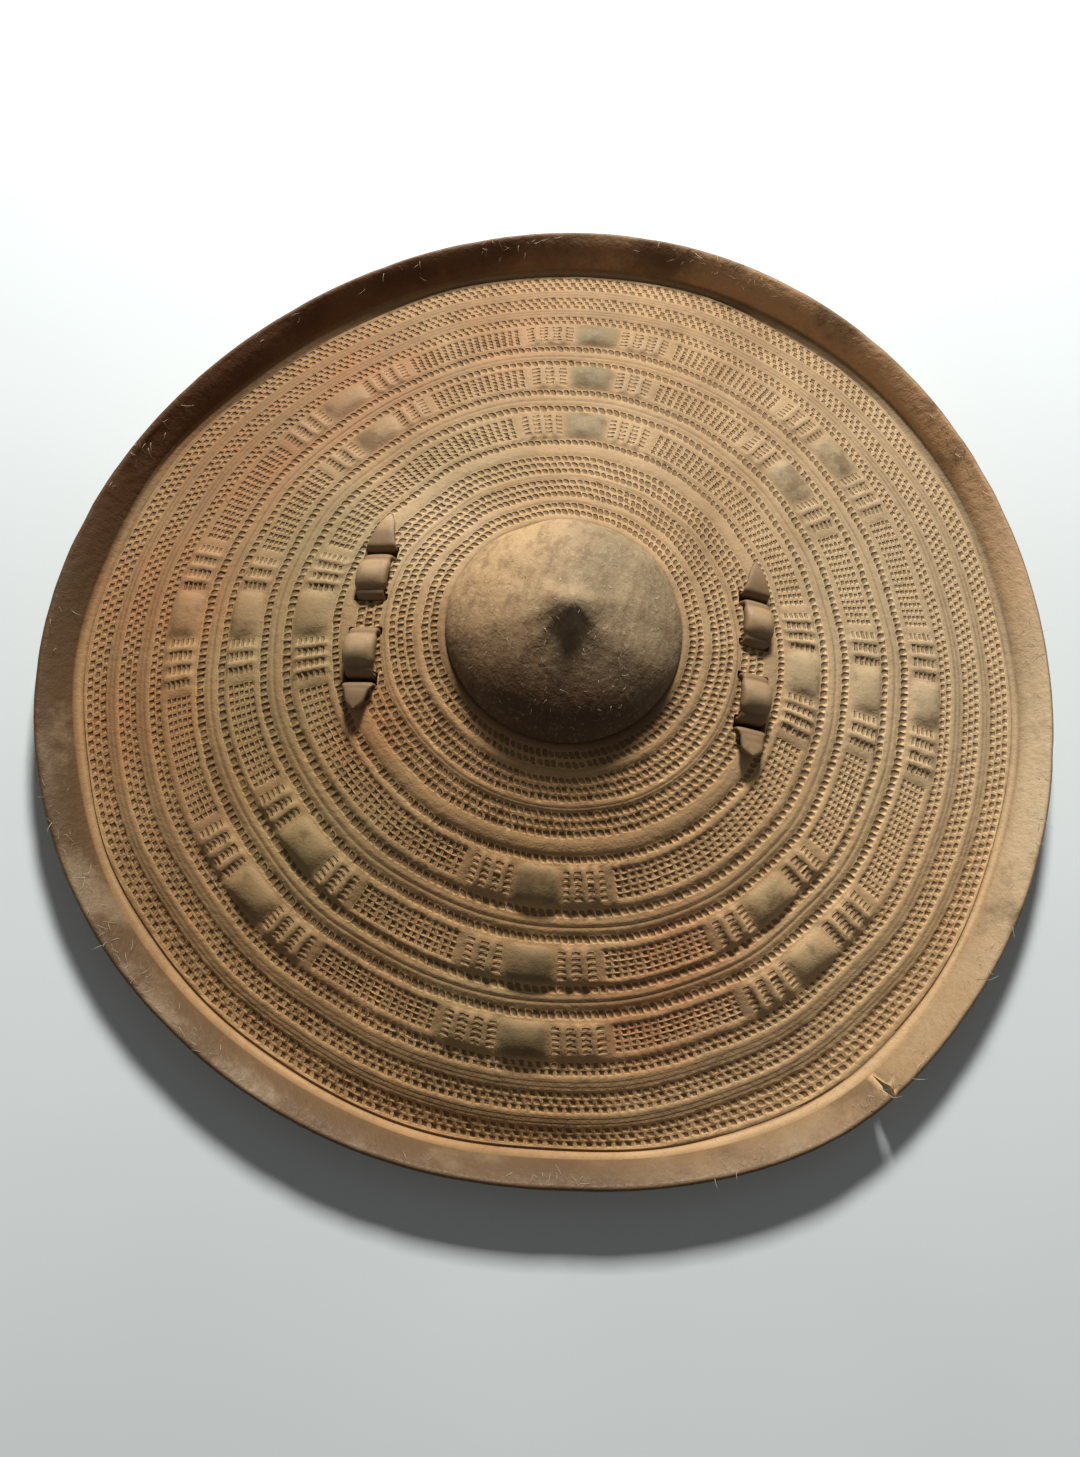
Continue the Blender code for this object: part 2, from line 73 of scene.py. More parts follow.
CAMERA_AIM = (-0.00231, -0.03914, 0.0)
SENSOR_WIDTH = 36.0
FOCAL_PIXELS = 1201.1
PHOTO_HEIGHT = 1457.0

# Every length from here to the property group is in millimetres, and heights are
# measured from the level of the lip
MM = 0.001
FIRST_ANGLE = 8.0

# Disc
LIP_RADIUS = 270.0
FOOT_RADIUS = 253.1
FOOT_LEVEL = -15.4
RIM_START = 255.3
RIM_FADE = 1.4
BOSS_RADIUS = 58.8
BOSS_FOOT_LEVEL = 48.2
BEND_RADIUS = 145.4
BEND_LEVEL = 19.0
HIDE_THICKNESS = 5.0
LIP_THICKNESS = 3.6
DOME_RISE = 27.5
DOME_SHOULDER = 1.6
DOME_ROUNDNESS = 0.58
KNOB_RISE = 10.4
KNOB_RADIUS = 11.0
REST_RING_WIDTH = 8.0
REST_RING_EXTRA = 1.2

# Straps and their slits
STRAP_RADIUS = 98.0
STRAP_ANGLES = {"strap_right": 8.0, "strap_left": 188.0}
STRAP_WIDTH = 17.0
STRAP_THICKNESS = 3.0
STRAP_BEND = 3.0
STRAP_LIFT = 0.5
BROAD_RIDGE_HEIGHT = 1.2
INNER_SLIT_AT = 9.0
OUTER_SLIT_AT = 31.5
SLIT_CLEARANCE = 0.6
ARCH_START = 7.0
ARCH_DEPTH = 30.0
TONGUE_THICKNESS = 2.4
TONGUE_WIDTH = 16.0
TONGUE_SPACING = 5.1
TONGUE_OVERLAP = 9.0
# tails, far and near: length, width of the tip before it is rounded, how late they taper, and its rise
TAILS = {
    "strap_right": ((16.0, 4.5, 1.0, -2.0), (10.0, 11.5, 0.4, 0.8)),
    "strap_left": ((18.0, 5.5, 1.0, -2.2), (10.0, 7.5, 0.7, 0.6)),
}
TAIL_ROUND = 0.32
RETURN_GAP = 4.0

# Crack in the rim: where it is, and its outline as radius and distance across
CRACK_ANGLE = 320.0
CRACK_OUTLINE = (
    (257.5, 0.2), (261.0, -0.5), (263.4, -0.9), (264.8, -2.0), (266.9, -1.8), (268.8, -1.2), (284.0, -0.9),
    (284.0, 0.5), (268.6, 0.7), (266.9, 1.8), (265.0, 2.0), (263.0, 1.08), (260.5, 0.6),
)

# Out-of-round of the dried hide, at five radii
WARP_RADII = (58.8, 145.0, 180.0, 253.1, 270.0)
WARP_DRIFT = (-2.6, -1.7, -0.3, 3.3, 2.5)
WARP_LOBES = (
    (2, math.cos, (0.1, 0.4, -0.5, -0.4, -0.7)),
    (2, math.sin, (0.1, 0.0, 1.4, 2.8, 2.9)),
    (3, math.cos, (-0.3, -0.6, -0.6, -2.1, -2.0)),
    (3, math.sin, (0.0, -2.0, -2.1, -2.8, -4.2)),
)
RIM_SWELLS = ((315.0, 9.0, 3.6), (282.0, 11.0, -3.0))
SWELL_WIDTH = 16.0

# Rings of the front, from the knob outwards. Each zone has its columns in a turn, what fills
# the strip after each line, the radii of the lines, and their heights of relief if any.
# "." is smooth, "o" is a row of punch marks and "b" is a row of a panel band; with nothing
# given, the whole zone is smooth.
DOUBLE_RIDGE = (0.08, 0.30, 0.40, -0.12, 0.38, 0.30, 0.08)
ZONES = (
    (48, "", (1.2, 2.6, 4.2, 6.0, 8.0, 10.0, 12.0), ()),
    (96, "", (14.5, 17.5, 21.0, 25.0, 29.0, 33.0), ()),
    (144, "", (37.0, 41.0, 44.5, 47.5, 50.5, 53.0, 55.2, 56.8, 57.9, 58.5, 58.9, 59.9, 61.2),
     (0.0,) * 10 + (-0.5, 0.15, 0.1)),
    (252, "oo", (62.4, 66.8, 71.0), ()),
    (168, "", (71.6, 72.2, 73.0, 73.8), (0.1, 0.3, 0.3, 0.1)),
    (300, "ooo", (74.6, 79.0, 83.2, 87.2), ()),
    (168, "", (87.7, 88.3, 89.0, 89.8, 90.4), (0.1, 0.3, -0.05, 0.28, 0.1)),
    (336, "ooo", (91.0, 95.3, 99.7, 104.0), ()),
    (216, "", (104.7, 105.6, 106.8, 108.6, 109.9, 110.8), (0.1, 0.38, 0.46, 0.40, 0.42, 0.1)),
    (432, "o..bbbbb..o",
     (111.6, 116.0, 117.0, 118.5, 121.5, 124.5, 127.5, 130.5, 133.5, 135.2, 136.6, 141.7), ()),
    (240, "", (142.3, 143.1, 144.4, 145.3, 146.2, 147.4, 148.2), DOUBLE_RIDGE),
    (528, "o..bbbbb..o",
     (148.8, 153.8, 154.8, 156.2, 159.0, 161.8, 164.6, 167.4, 170.2, 171.2, 172.2, 176.7), ()),
    (264, "", (177.2, 177.9, 179.0, 179.8, 180.7, 181.8, 182.6), DOUBLE_RIDGE),
    (640, "o..bbbbb..oo",
     (183.4, 188.8, 189.8, 191.0, 193.7, 196.4, 199.1, 201.8, 204.5, 206.2, 207.8, 211.2, 214.6), ()),
    (320, "", (215.8, 217.1, 218.3, 219.4, 220.7), (0.45, -0.05, 0.42, -0.05, 0.45)),
    (640, "ooo", (221.8, 225.2, 228.6, 232.0), ()),
    (320, "", (233.0, 234.2, 235.4, 236.4, 237.6), (0.45, -0.1, 0.45, -0.1, 0.45)),
    (640, "ooo", (238.6, 242.4, 246.2, 250.0), ()),
    (280, "", (250.9, 251.9, 253.0, 254.2, 255.3, 256.6, 259.6, 262.8, 265.6, 266.9),
     (0.5, -0.25, 0.5, 0.35, -0.6, 0.25, 0.5, 0.6, 0.35, 0.0)),
)
# How far a point strays in a row of punch marks and in a panel band: in radius and round the ring
ROW_STRAY = (0.34, 0.36)
BAND_STRAY = (0.24, 0.28)
# Radii from which and to which the unevenness of the hide fades in, at its middle and at its edge
WANDER_FADES = ((60.0, 70.0), (256.0, 250.0))
RIPPLE_FADES = ((0.0, 20.0), (268.0, 262.0))

# Panel bands: how strongly panels, ribs and the frames round the punched fields show on each
# line, and by the columns of their zone, columns from panel to panel and ribs a side
PANEL_CROWN = (0.0, 0.0, 0.10, 0.50, 0.82, 0.97, 1.0, 0.90, 0.66, 0.36, 0.0, 0.0)
RIB_CROWN = (0.0, 0.0, 0.4, 0.9, 1.0, 1.0, 1.0, 1.0, 0.9, 0.4, 0.0, 0.0)
FRAME_CROWN = (0.0, 0.0, 0.9, 0.35, 0.0, 0.0, 0.0, 0.0, 0.35, 0.9, 0.0, 0.0)
BANDS = {432: (108, 3), 528: (66, 2), 640: (80, 3)}
INNER_BAND = 432
PANEL_HALF_COLUMNS = 7
RUNG_SHARE = 0.27
CELL_BULGE = 0.2
FRAME_RISE = 0.5
RIB_SQUEEZE = 0.32
# the inner band's ribs stand closer: columns from a panel's middle, and where they are drawn to
INNER_SQUEEZE = ((0, 7, 21, 54), (0.0, 6.88, 18.6, 54.0))

# Rings of the back, from the rim inwards: radius and height of the relief
BACK_LINES = (
    (254.7, 0.0), (252.1, 0.0), (249.4, 0.0), (246.7, 0.0), (243.0, 0.0), (238.7, 0.0), (231.0, 0.15),
    (223.0, -0.1), (215.0, 0.15), (208.0, 0.0), (202.0, -0.25), (196.0, -0.25), (190.0, 0.1), (184.2, 0.15),
    (180.0, -0.45), (176.0, 0.15), (169.0, -0.15), (162.0, -0.2), (155.0, 0.1), (149.6, 0.15),
    (145.4, -0.45), (141.0, 0.15), (134.0, -0.15), (127.0, -0.2), (119.0, 0.1), (112.0, 0.15),
    (107.8, -0.4), (103.0, 0.15), (96.0, 0.0), (91.0, 0.1), (88.0, -0.25), (84.0, 0.1), (78.0, 0.0),
    (72.5, -0.25), (67.0, 0.1),
    *((radius, 0.0) for radius in (60.5, 55.8, 53.8, 52.6, 50.6, 46.5, 41.0, 34.0, 27.0, 20.0, 13.0, 6.5)),
)
BACK_COLUMNS = ((100.0, 180), (50.0, 144), (22.0, 96), (0.0, 48))

# Ground for the stray hairs: its columns and rings, and the areas to share the hairs over, in square metres
HAIR_COLUMNS = 120
BOSS_HAIR_RADII = (3.0, 14.0, 24.0, 34.0, 44.0, 54.0)
RIM_HAIR_RADII = (262.0, 265.5, 268.2, 269.6)
RIM_HAIR_AREA = 0.0115
BOSS_HAIR_AREA = 0.0105

MARKS = ("raised", "cavity", "boss", "rim", "edge", "back", "panel")
SHARP_ANGLE = math.radians(62.0)

LengthProperty = partial(FloatProperty, unit="LENGTH")
FactorProperty = partial(FloatProperty, subtype="FACTOR")
ColourProperty = partial(FloatVectorProperty, subtype="COLOR", size=3, min=0.0, max=1.0)


class ShieldSettings(bpy.types.PropertyGroup):
    """Sizes and colours of the shield."""

    punch_depth: LengthProperty(
        name="Punch depth", description="Depth of a punch mark below its edge",
        default=0.0005, min=0.0001, max=0.002)
    punch_share: FactorProperty(
        name="Punch floor", description="Share of its cell that the floor of a punch mark takes",
        default=0.30, min=0.1, max=0.9)
    punch_lean: FloatProperty(
        name="Punch lean", description="How far the punch marks lean round the ring",
        default=0.35, min=-1.0, max=1.0)
    punch_unevenness: FactorProperty(
        name="Punch unevenness", description="How much the punch marks differ in depth and size",
        default=0.42, min=0.0, max=1.0)
    ring_wander: LengthProperty(
        name="Ring wander", description="How far the hand-worked rings stray in and out",
        default=0.0003, min=0.0, max=0.002)
    field_ripple: LengthProperty(
        name="Field ripple", description="Height of the slow waves in the dried hide",
        default=0.0003, min=0.0, max=0.001)
    panel_rise: LengthProperty(
        name="Panel rise", description="Height of the raised panels", default=0.0034, min=0.0005, max=0.004)
    rib_rise: LengthProperty(
        name="Rib rise", description="Height of the ribs beside the panels",
        default=0.0020, min=0.0003, max=0.003)
    pillow_swell: LengthProperty(
        name="Pillow swell", description="Extra height in the middle of each strap pillow",
        default=0.0028, min=0.0, max=0.004)
    hair_length: LengthProperty(
        name="Hair length", description="Length of the longest stray hairs on the rim",
        default=0.0085, min=0.002, max=0.02)
    hair_width: LengthProperty(
        name="Hair width", description="Thickness of a stray hair at its root",
        default=0.00022, min=0.00005, max=0.0005)
    rim_hairs: IntProperty(
        name="Rim hairs", description="Stray hairs round the rim", default=260, min=0, max=2000)
    boss_hairs: IntProperty(
        name="Boss hairs", description="Short hairs left on the boss", default=150, min=0, max=2000)
    tan: ColourProperty(name="Tan", description="Main colour of the hide", default=(0.405, 0.262, 0.132))
    pale_tan: ColourProperty(
        name="Pale tan", description="Colour of worn crests", default=(0.61, 0.465, 0.29))
    # the colour of dirt, used also for painted shade
    dirt_and_shade: ColourProperty(
        name="Dirt", description="Colour of what has settled in pits and grooves",
        default=(0.095, 0.052, 0.024))
    red_stain: ColourProperty(
        name="Red stain", description="Colour of the reddish stains", default=(0.40, 0.172, 0.072))
    olive_stain: ColourProperty(
        name="Olive stain", description="Colour of the greenish grey stains", default=(0.30, 0.245, 0.125))
    rim_tan: ColourProperty(
        name="Rim tan", description="Colour of the brown left side of the rim", default=(0.135, 0.078, 0.036))
    # a lighter colour for the far side of the rim, painted light that lifts its shade
    far_rim: ColourProperty(
        name="Far rim", description="Colour of the far side of the rim", default=(0.56, 0.335, 0.175))
    boss_grey: ColourProperty(
        name="Boss grey", description="Colour of the boss", default=(0.25, 0.185, 0.107))
    floor_colour: ColourProperty(name="Floor", description="Colour of the floor", default=(0.68, 0.74, 0.77))
    light_power: FloatProperty(
        name="Light power", description="Power of the soft window light", default=81.0, min=1.0, max=500.0,
        unit="POWER")


def ramp(value, start, end):
    """How far a value has gone from start to end, from 0 to 1."""
    return np.clip((value - start) / (end - start), 0.0, 1.0)


def field_level(radius):
    """Height of the field's plain front surface."""
    level = np.interp(radius, (BOSS_RADIUS, BEND_RADIUS, FOOT_RADIUS),
                      (BOSS_FOOT_LEVEL, BEND_LEVEL, FOOT_LEVEL))
    return np.where(radius < BOSS_RADIUS, BOSS_FOOT_LEVEL + field_slope() * (BOSS_RADIUS - radius), level)


def field_slope():
    """Fall of the field for each millimetre outwards, near the straps."""
    return (BOSS_FOOT_LEVEL - BEND_LEVEL) / (BEND_RADIUS - BOSS_RADIUS)


def dome_rise(radius, reach, rise):
    """Height of a dome of the given reach above its foot."""
    share = np.clip(radius / reach, 0.0, 1.0)
    return rise * (1.0 - share ** DOME_SHOULDER) ** DOME_ROUNDNESS


def rim_axes():
    """Unit vectors along the rim's slope and square to it, out and down."""
    along = np.array((LIP_RADIUS - FOOT_RADIUS, -FOOT_LEVEL))
    along /= np.linalg.norm(along)
    return along, np.array((along[1], -along[0]))


def lip_point(back, across):
    """A place on the lip's section, in shares of its thickness."""
    along, outward = rim_axes()
    middle = np.array((LIP_RADIUS, 0.0)) - outward * LIP_THICKNESS * 0.4
    return middle + (along * back + outward * across) * LIP_THICKNESS


def front_level(radius):
    """Height of the front surface without its relief, from the knob to the lip."""
    boss = (BOSS_FOOT_LEVEL + dome_rise(radius, BOSS_RADIUS, DOME_RISE)
            + KNOB_RISE * np.exp(-((radius / KNOB_RADIUS) ** 2)))
    end_radius, end_level = lip_point(-0.9, 0.0)
    rim = FOOT_LEVEL + (radius - FOOT_RADIUS) * (end_level - FOOT_LEVEL) / (end_radius - FOOT_RADIUS)
    level = np.where(radius < BOSS_RADIUS, boss, field_level(radius))
    return np.where(radius > FOOT_RADIUS, rim, level)


def rest_level():
    """Height of the ring that the shield rests on."""
    return FOOT_LEVEL - HIDE_THICKNESS * math.hypot(1.0, field_slope()) + 0.5 * REST_RING_EXTRA


def back_level(radius):
    """Height of the underside without its relief, from the rest ring to the axis."""
    drop = HIDE_THICKNESS * math.hypot(1.0, field_slope())
    rest_outer = FOOT_RADIUS + 0.2 * REST_RING_WIDTH
    rest_inner = rest_outer - REST_RING_WIDTH
    inner = rest_inner - REST_RING_WIDTH
    hollow = BOSS_RADIUS - HIDE_THICKNESS
    foot = float(field_level(np.array(hollow))) - drop
    rise = BOSS_FOOT_LEVEL + DOME_RISE - HIDE_THICKNESS - foot
    knots = (hollow, BEND_RADIUS, inner, rest_inner, rest_outer)
    levels = (foot, BEND_LEVEL - drop, float(field_level(np.array(inner))) - drop, rest_level(), rest_level())
    return np.where(radius < hollow, foot + dome_rise(radius, hollow, rise), np.interp(radius, knots, levels))


def warped(radius, angle):
    """Where the dried hide has carried a place of the true disc: x and y."""
    swing = sum(np.interp(radius, WARP_RADII, sizes) * (np.cos if wave is math.cos else np.sin)(lobes * angle)
                for lobes, wave, sizes in WARP_LOBES)
    near_rim = np.clip((radius - FOOT_RADIUS + SWELL_WIDTH) / SWELL_WIDTH, 0.0, 1.0)
    for place, spread, amount in RIM_SWELLS:
        off = (np.degrees(angle) - place + 180.0) % 360.0 - 180.0
        swing = swing + near_rim * amount * np.exp(-0.5 * (off / spread) ** 2)
    reach = radius + swing * np.clip(radius / BOSS_RADIUS, 0.0, 1.0)
    drift = np.interp(radius, WARP_RADII, WARP_DRIFT)
    return reach * np.cos(angle) + drift, reach * np.sin(angle)


def settle_shift():
    """How far the finished shield moves so that its box stands over the origin."""
    angle = np.radians(np.arange(60) * 6.0)
    x, y = warped(np.full(60, lip_point(-0.25, 0.88)[0]), angle)
    return np.array((-0.5 * (x.min() + x.max()), -0.5 * (y.min() + y.max()), -rest_level()))


def settled(point):
    """A place on the true disc, in the finished shield's metres."""
    x, y = warped(math.hypot(point.x, point.y), math.atan2(point.y, point.x))
    return Vector((x, y, point.z) + settle_shift()) * MM


def ripple(angle, radius, seed, lobes, drift):
    """A slow repeating wave round the disc, about one unit high."""
    chance = random.Random(seed)
    total = np.zeros(np.broadcast(angle, radius).shape)
    for count in range(*lobes):
        phase = chance.uniform(0.0, math.tau)
        turn = chance.uniform(-drift, drift)
        total += chance.uniform(0.4, 1.0) * np.cos(count * angle + phase + turn * radius)
    return total / math.sqrt(0.3 * (lobes[1] - lobes[0]))


class Web:
    """Rings of points, joined from each to the next into one closed surface."""

    def __init__(self):
        self.points = []
        self.marks = {name: [] for name in MARKS}
        self.faces = []
        self.punches = []
        self.rungs = []
        self.total = 0

    def ring(self, radius, angle, level, marks):
        """Add a ring of points and return its first index and its count."""
        x, y = warped(radius, angle)
        self.points.append(np.column_stack((x, y, level)))
        for name in MARKS:
            self.marks[name].append(np.broadcast_to(np.asarray(marks.get(name, 0.0), float), angle.shape))
        first = self.total
        self.total += len(angle)
        return first, len(angle)

    def face(self, corners, punch=0.0, rung=0.0):
        self.faces.append(corners)
        self.punches.append(punch)
        self.rungs.append(rung)

    def join(self, inner, outer):
        """Join two rings whose counts may differ."""
        (a, a_count), (b, b_count) = inner, outer
        i = j = 0
        while i < a_count or j < b_count:
            next_a = a + (i + 1) % a_count
            next_b = b + (j + 1) % b_count
            lead = (i + 1) * b_count - (j + 1) * a_count
            if lead == 0:
                self.face((a + i, b + j, next_b, next_a))
            elif lead < 0:
                self.face((a + i, b + j, next_a))
            else:
                self.face((a + i, b + j, next_b))
            i += lead <= 0
            j += lead >= 0

    def cells(self, inner, outer, starts, rungs=()):
        """Join two like rings with punch cells, each two columns wide, and plain faces between."""
        (a, count), (b, _) = inner, outer
        taken = np.zeros(count, bool)
        for column in [*starts, *rungs]:
            c, d, e = column, (column + 1) % count, (column + 2) % count
            self.face((a + c, b + c, b + d, b + e, a + e, a + d), 1.0, float(column in rungs))
            taken[[c, d]] = True
        for c in np.flatnonzero(~taken):
            d = (c + 1) % count
            self.face((a + c, b + c, b + d, a + d))

    def fan(self, ring, point, marks, closing):
        """Close a pole with one point."""
        first, count = ring
        self.points.append(np.array([point]))
        for name in MARKS:
            self.marks[name].append(np.array([marks.get(name, 0.0)]))
        pole = self.total
        self.total += 1
        for c in range(count):
            d = (c + 1) % count
            self.face((first + c, pole, first + d) if closing else (pole, first + c, first + d))


def band_layout(count):
    """A panel band's columns from panel to panel, its ribs a side, and the column where they end."""
    period, ribs = BANDS[count]
    return period, ribs, PANEL_HALF_COLUMNS + 2 + 4 * ribs


def ring_angles(count, line, banded=False):
    """Angles of a ring's points, in radians; ribs are narrowed, and the inner band's drawn together."""
    columns = np.arange(count, dtype=float)
    if count in BANDS and 2 <= line <= 9 and banded:
        period, _, ribs_end = band_layout(count)
        place = (columns + 0.5 * period) % period - 0.5 * period
        away = np.abs(place)
        step = (away - PANEL_HALF_COLUMNS - 3) % 4
        squeeze = np.where(step == 3, RIB_SQUEEZE, 0.0) - np.where(step == 1, RIB_SQUEEZE, 0.0)
        away = away + squeeze * (away > PANEL_HALF_COLUMNS) * (away < ribs_end - 1)
        if count == INNER_BAND:
            away = np.interp(away, *INNER_SQUEEZE)
        columns = columns - place + np.sign(place) * away
    return np.radians(FIRST_ANGLE + columns * 360.0 / count)


def band_relief(count, line, settings):
    """Height and panel mark of a panel band's line, column by column."""
    period, ribs, ribs_end = band_layout(count)
    place = (np.arange(count) + period // 2) % period - period // 2
    away = np.abs(place).astype(float)
    crown, along_rib, framed = (
        shares[min(line, len(shares) - 1)] for shares in (PANEL_CROWN, RIB_CROWN, FRAME_CROWN))
    panel = np.interp(away, (0.0, 2.0, 4.0, 5.0, 6.0, 7.0), (1.0, 0.97, 0.84, 0.68, 0.42, 0.0))
    # the ribs are broad and round, and the rungs between them stand about a quarter as high
    rib = np.where(away > PANEL_HALF_COLUMNS - 1.0, RUNG_SHARE, 0.0)
    rib[away > ribs_end] = 0.0
    for index in range(ribs):
        middle = PANEL_HALF_COLUMNS + 3 + 4 * index
        rib = np.maximum(rib, np.interp(np.abs(away - middle), (0.0, 1.0, 2.0), (1.0, 0.8, 0.0)))
    post = np.interp(np.abs(away - ribs_end - 1.0), (0.0, 1.0, 2.0), (1.0, 0.5, 0.0))
    height = crown * panel * settings.panel_rise / MM
    height = np.maximum(height, along_rib * rib * settings.rib_rise / MM)
    height = np.maximum(height, FRAME_RISE * along_rib * post)
    height = np.maximum(height, FRAME_RISE * framed * (away > ribs_end))
    return height, np.interp(away, (4.6, 7.0), (1.0, 0.0)) * min(1.0, 1.4 * crown)


def band_starts(count):
    """Columns where a panel band's cells start: in its framed fields, and between its ribs."""
    period, ribs, ribs_end = band_layout(count)
    fields = []
    rungs = []
    for middle in range(0, count, period):
        for index in range(ribs + 1):
            near = PANEL_HALF_COLUMNS + 4 * index
            rungs += [(middle + near) % count, (middle - near - 2) % count]
        fields += range(middle + ribs_end + 2, middle + period - ribs_end - 2, 2)
    return [start % count for start in fields], rungs


def front_rings(web, settings):
    """The front of the hide from the knob to the lip; returns the last ring."""
    chance = np.random.default_rng(7)
    top = {"boss": 1.0, "raised": 0.5}
    centre = np.array((*warped(np.array(0.0), np.array(0.0)), front_level(np.array(0.0))))
    previous = None
    for zone, (count, fills, zone_radii, rises) in enumerate(ZONES):
        parity = 0
        is_rim = zone == len(ZONES) - 1
        for index, radius in enumerate(zone_radii):
            height = rises[index] if rises else 0.0
            angle = ring_angles(count, index, "b" in fills)
            fill = fills[index:index + 1]
            before = fills[index - 1:index]
            radii = np.full(count, radius)
            heights = np.full(count, height)
            panel = np.zeros(count)
            if "b" in fills:
                heights, panel = band_relief(count, index, settings)
            if "o" in fills:
                # cells of neighbouring rows stand half a cell apart and bulge into each other
                odd = np.arange(count) % 2
                if before == "o":
                    radii += np.where(odd != (parity + 1) % 2, CELL_BULGE, 0.0)
                if fill == "o":
                    radii -= np.where(odd != parity, CELL_BULGE, 0.0)
                if "o" in (before, fill):
                    radii += chance.uniform(-ROW_STRAY[0], ROW_STRAY[0], count)
                    angle = angle + chance.uniform(-ROW_STRAY[1], ROW_STRAY[1], count) / radius
                elif "b" in (before, fill):
                    plain = panel < 0.1
                    radii += chance.uniform(-BAND_STRAY[0], BAND_STRAY[0], count) * plain
                    angle = angle + chance.uniform(-BAND_STRAY[1], BAND_STRAY[1], count) * plain / radius
            on_field = ramp(radii, *WANDER_FADES[0]) * ramp(radii, *WANDER_FADES[1])
            wander = ripple(angle, radii, 3, (3, 20), 0.03) * settings.ring_wander / MM
            wander *= on_field * np.clip(radii / 140.0, 0.4, 1.4)
            wander += ripple(angle, radii, 9, (3, 15), 0.01) * 0.5 * (radius > 250.0) * (radius < 266.0)
            slow = ripple(angle, radii, 5, (2, 13), 0.06) * settings.field_ripple / MM
            heights = heights + slow * ramp(radii, *RIPPLE_FADES[1]) * ramp(radii, *RIPPLE_FADES[0])
            if radius < BOSS_RADIUS:
                dents = ripple(angle, radii, 8, (2, 9), 0.16)
                heights = heights + 0.3 * dents * math.sin(math.pi * radius / BOSS_RADIUS)
            base = front_level(radii)
            slope = (front_level(radii + 0.05) - front_level(radii - 0.05)) / 0.1
            slope = np.clip(slope, -1.2, 1.2)
            lean = 1.0 / np.hypot(1.0, slope)
            cavity = 0.6 if height < 0.0 else 0.12
            if radius < BOSS_RADIUS - 0.2 or is_rim and index > 5:
                cavity = 0.0
            marks = {"raised": np.clip((heights + 0.6) / 2.8, 0.0, 1.0), "cavity": cavity * (1.0 - panel),
                     "panel": panel, "boss": 1.0 if radius < BOSS_RADIUS else 0.0,
                     "rim": min(max((radius - RIM_START) / RIM_FADE, 0.0), 1.0)}
            ring = web.ring(radii + wander - slope * lean * heights, angle, base + lean * heights, marks)
            if previous is None:
                web.fan(ring, centre, top, False)
            elif before == "o":
                web.cells(previous, ring, range((parity + 1) % 2, count, 2))
            elif before == "b":
                web.cells(previous, ring, *band_starts(count))
            else:
                web.join(previous, ring)
            if fill == "o":
                parity = (parity + 1) % 2
            previous = ring
    return previous


def back_rings(web, last):
    """The lip and the underside, in to the back pole."""
    lip = ((-0.55, 0.02, 0.0), (-0.2, 0.10, 0.3), (-0.04, 0.28, 1.0), (0.0, 0.5, 1.0), (-0.05, 0.74, 1.0),
           (-0.22, 0.93, 0.6), (-0.6, 1.02, 0.2), (-1.3, 1.12, 0.0), (-2.6, 1.26, 0.0))
    previous = last
    for back, across, edge in lip:
        count = 320 if across < 0.95 else 240
        angle = ring_angles(count, 0)
        radius, level = lip_point(back, across)
        fray = ripple(angle, np.full(count, 0.0), 11, (9, 70), 0.0) * 0.12 * edge
        marks = {"rim": 1.0, "edge": edge, "raised": 0.5, "back": 1.0 if across > 1.0 else 0.0}
        ring = web.ring(np.full(count, radius) - np.abs(fray), angle, np.full(count, level) + fray, marks)
        web.join(previous, ring)
        previous = ring
    for radius, height in BACK_LINES:
        count = next(columns for limit, columns in BACK_COLUMNS if radius > limit)
        angle = ring_angles(count, 0)
        radii = np.full(count, radius)
        on_field = float(radius < 238.0)
        slow = ripple(angle, radii, 5, (2, 13), 0.06) * 0.3 + ripple(angle, radii, 6, (9, 26), 0.09) * 0.12
        level = back_level(radii) - on_field * (height - slow * min(radius / 20.0, 1.0))
        marks = {"back": 1.0, "raised": np.full(count, 0.5 + 0.5 * height)}
        ring = web.ring(radii, angle, level, marks)
        web.join(previous, ring)
        previous = ring
    centre = np.array((*warped(np.array(0.0), np.array(0.0)), back_level(np.array(0.0))))
    web.fan(previous, centre, {"back": 1.0, "raised": 0.5}, True)


def add_marks(mesh, marks, domain="POINT"):
    """Store numbers on a mesh's points or faces."""
    for name, values in marks.items():
        layer = mesh.attributes.new(name, "FLOAT", domain)
        layer.data.foreach_set("value", np.asarray(values, np.float32))


def web_mesh(web, name):
    """Turn a web into a mesh in metres that carries its marks."""
    points = (np.concatenate(web.points) + settle_shift()) * MM
    mesh = bpy.data.meshes.new(name)
    mesh.from_pydata(points.tolist(), [], web.faces)
    add_marks(mesh, {mark: np.concatenate(web.marks[mark]) for mark in MARKS})
    add_marks(mesh, {"punch": web.punches, "rung": web.rungs}, "FACE")
    return mesh


def new_object(name, mesh):
    piece = bpy.data.objects.new(name, mesh)
    bpy.context.scene.collection.objects.link(piece)
    return piece


def shape_object(name, shape):
    """Turn a bmesh into an object."""
    mesh = bpy.data.meshes.new(name)
    shape.to_mesh(mesh)
    shape.free()
    return new_object(name, mesh)


def made_plain(piece):
    """Replace a piece's modifiers with the mesh that they make."""
    bpy.context.view_layer.update()
    graph = bpy.context.evaluated_depsgraph_get()
    mesh = bpy.data.meshes.new_from_object(piece.evaluated_get(graph))
    piece.modifiers.clear()
    old = piece.data
    piece.data = mesh
    bpy.data.meshes.remove(old)
    mesh.name = piece.name
    return piece


def combine(piece, tool, operation):
    """Join a tool to a piece or take it away, and remove the tool."""
    modifier = piece.modifiers.new(operation.lower(), "BOOLEAN")
    modifier.operation = operation
    modifier.object = tool
    modifier.solver = "EXACT"
    made_plain(piece)
    bpy.data.objects.remove(tool)


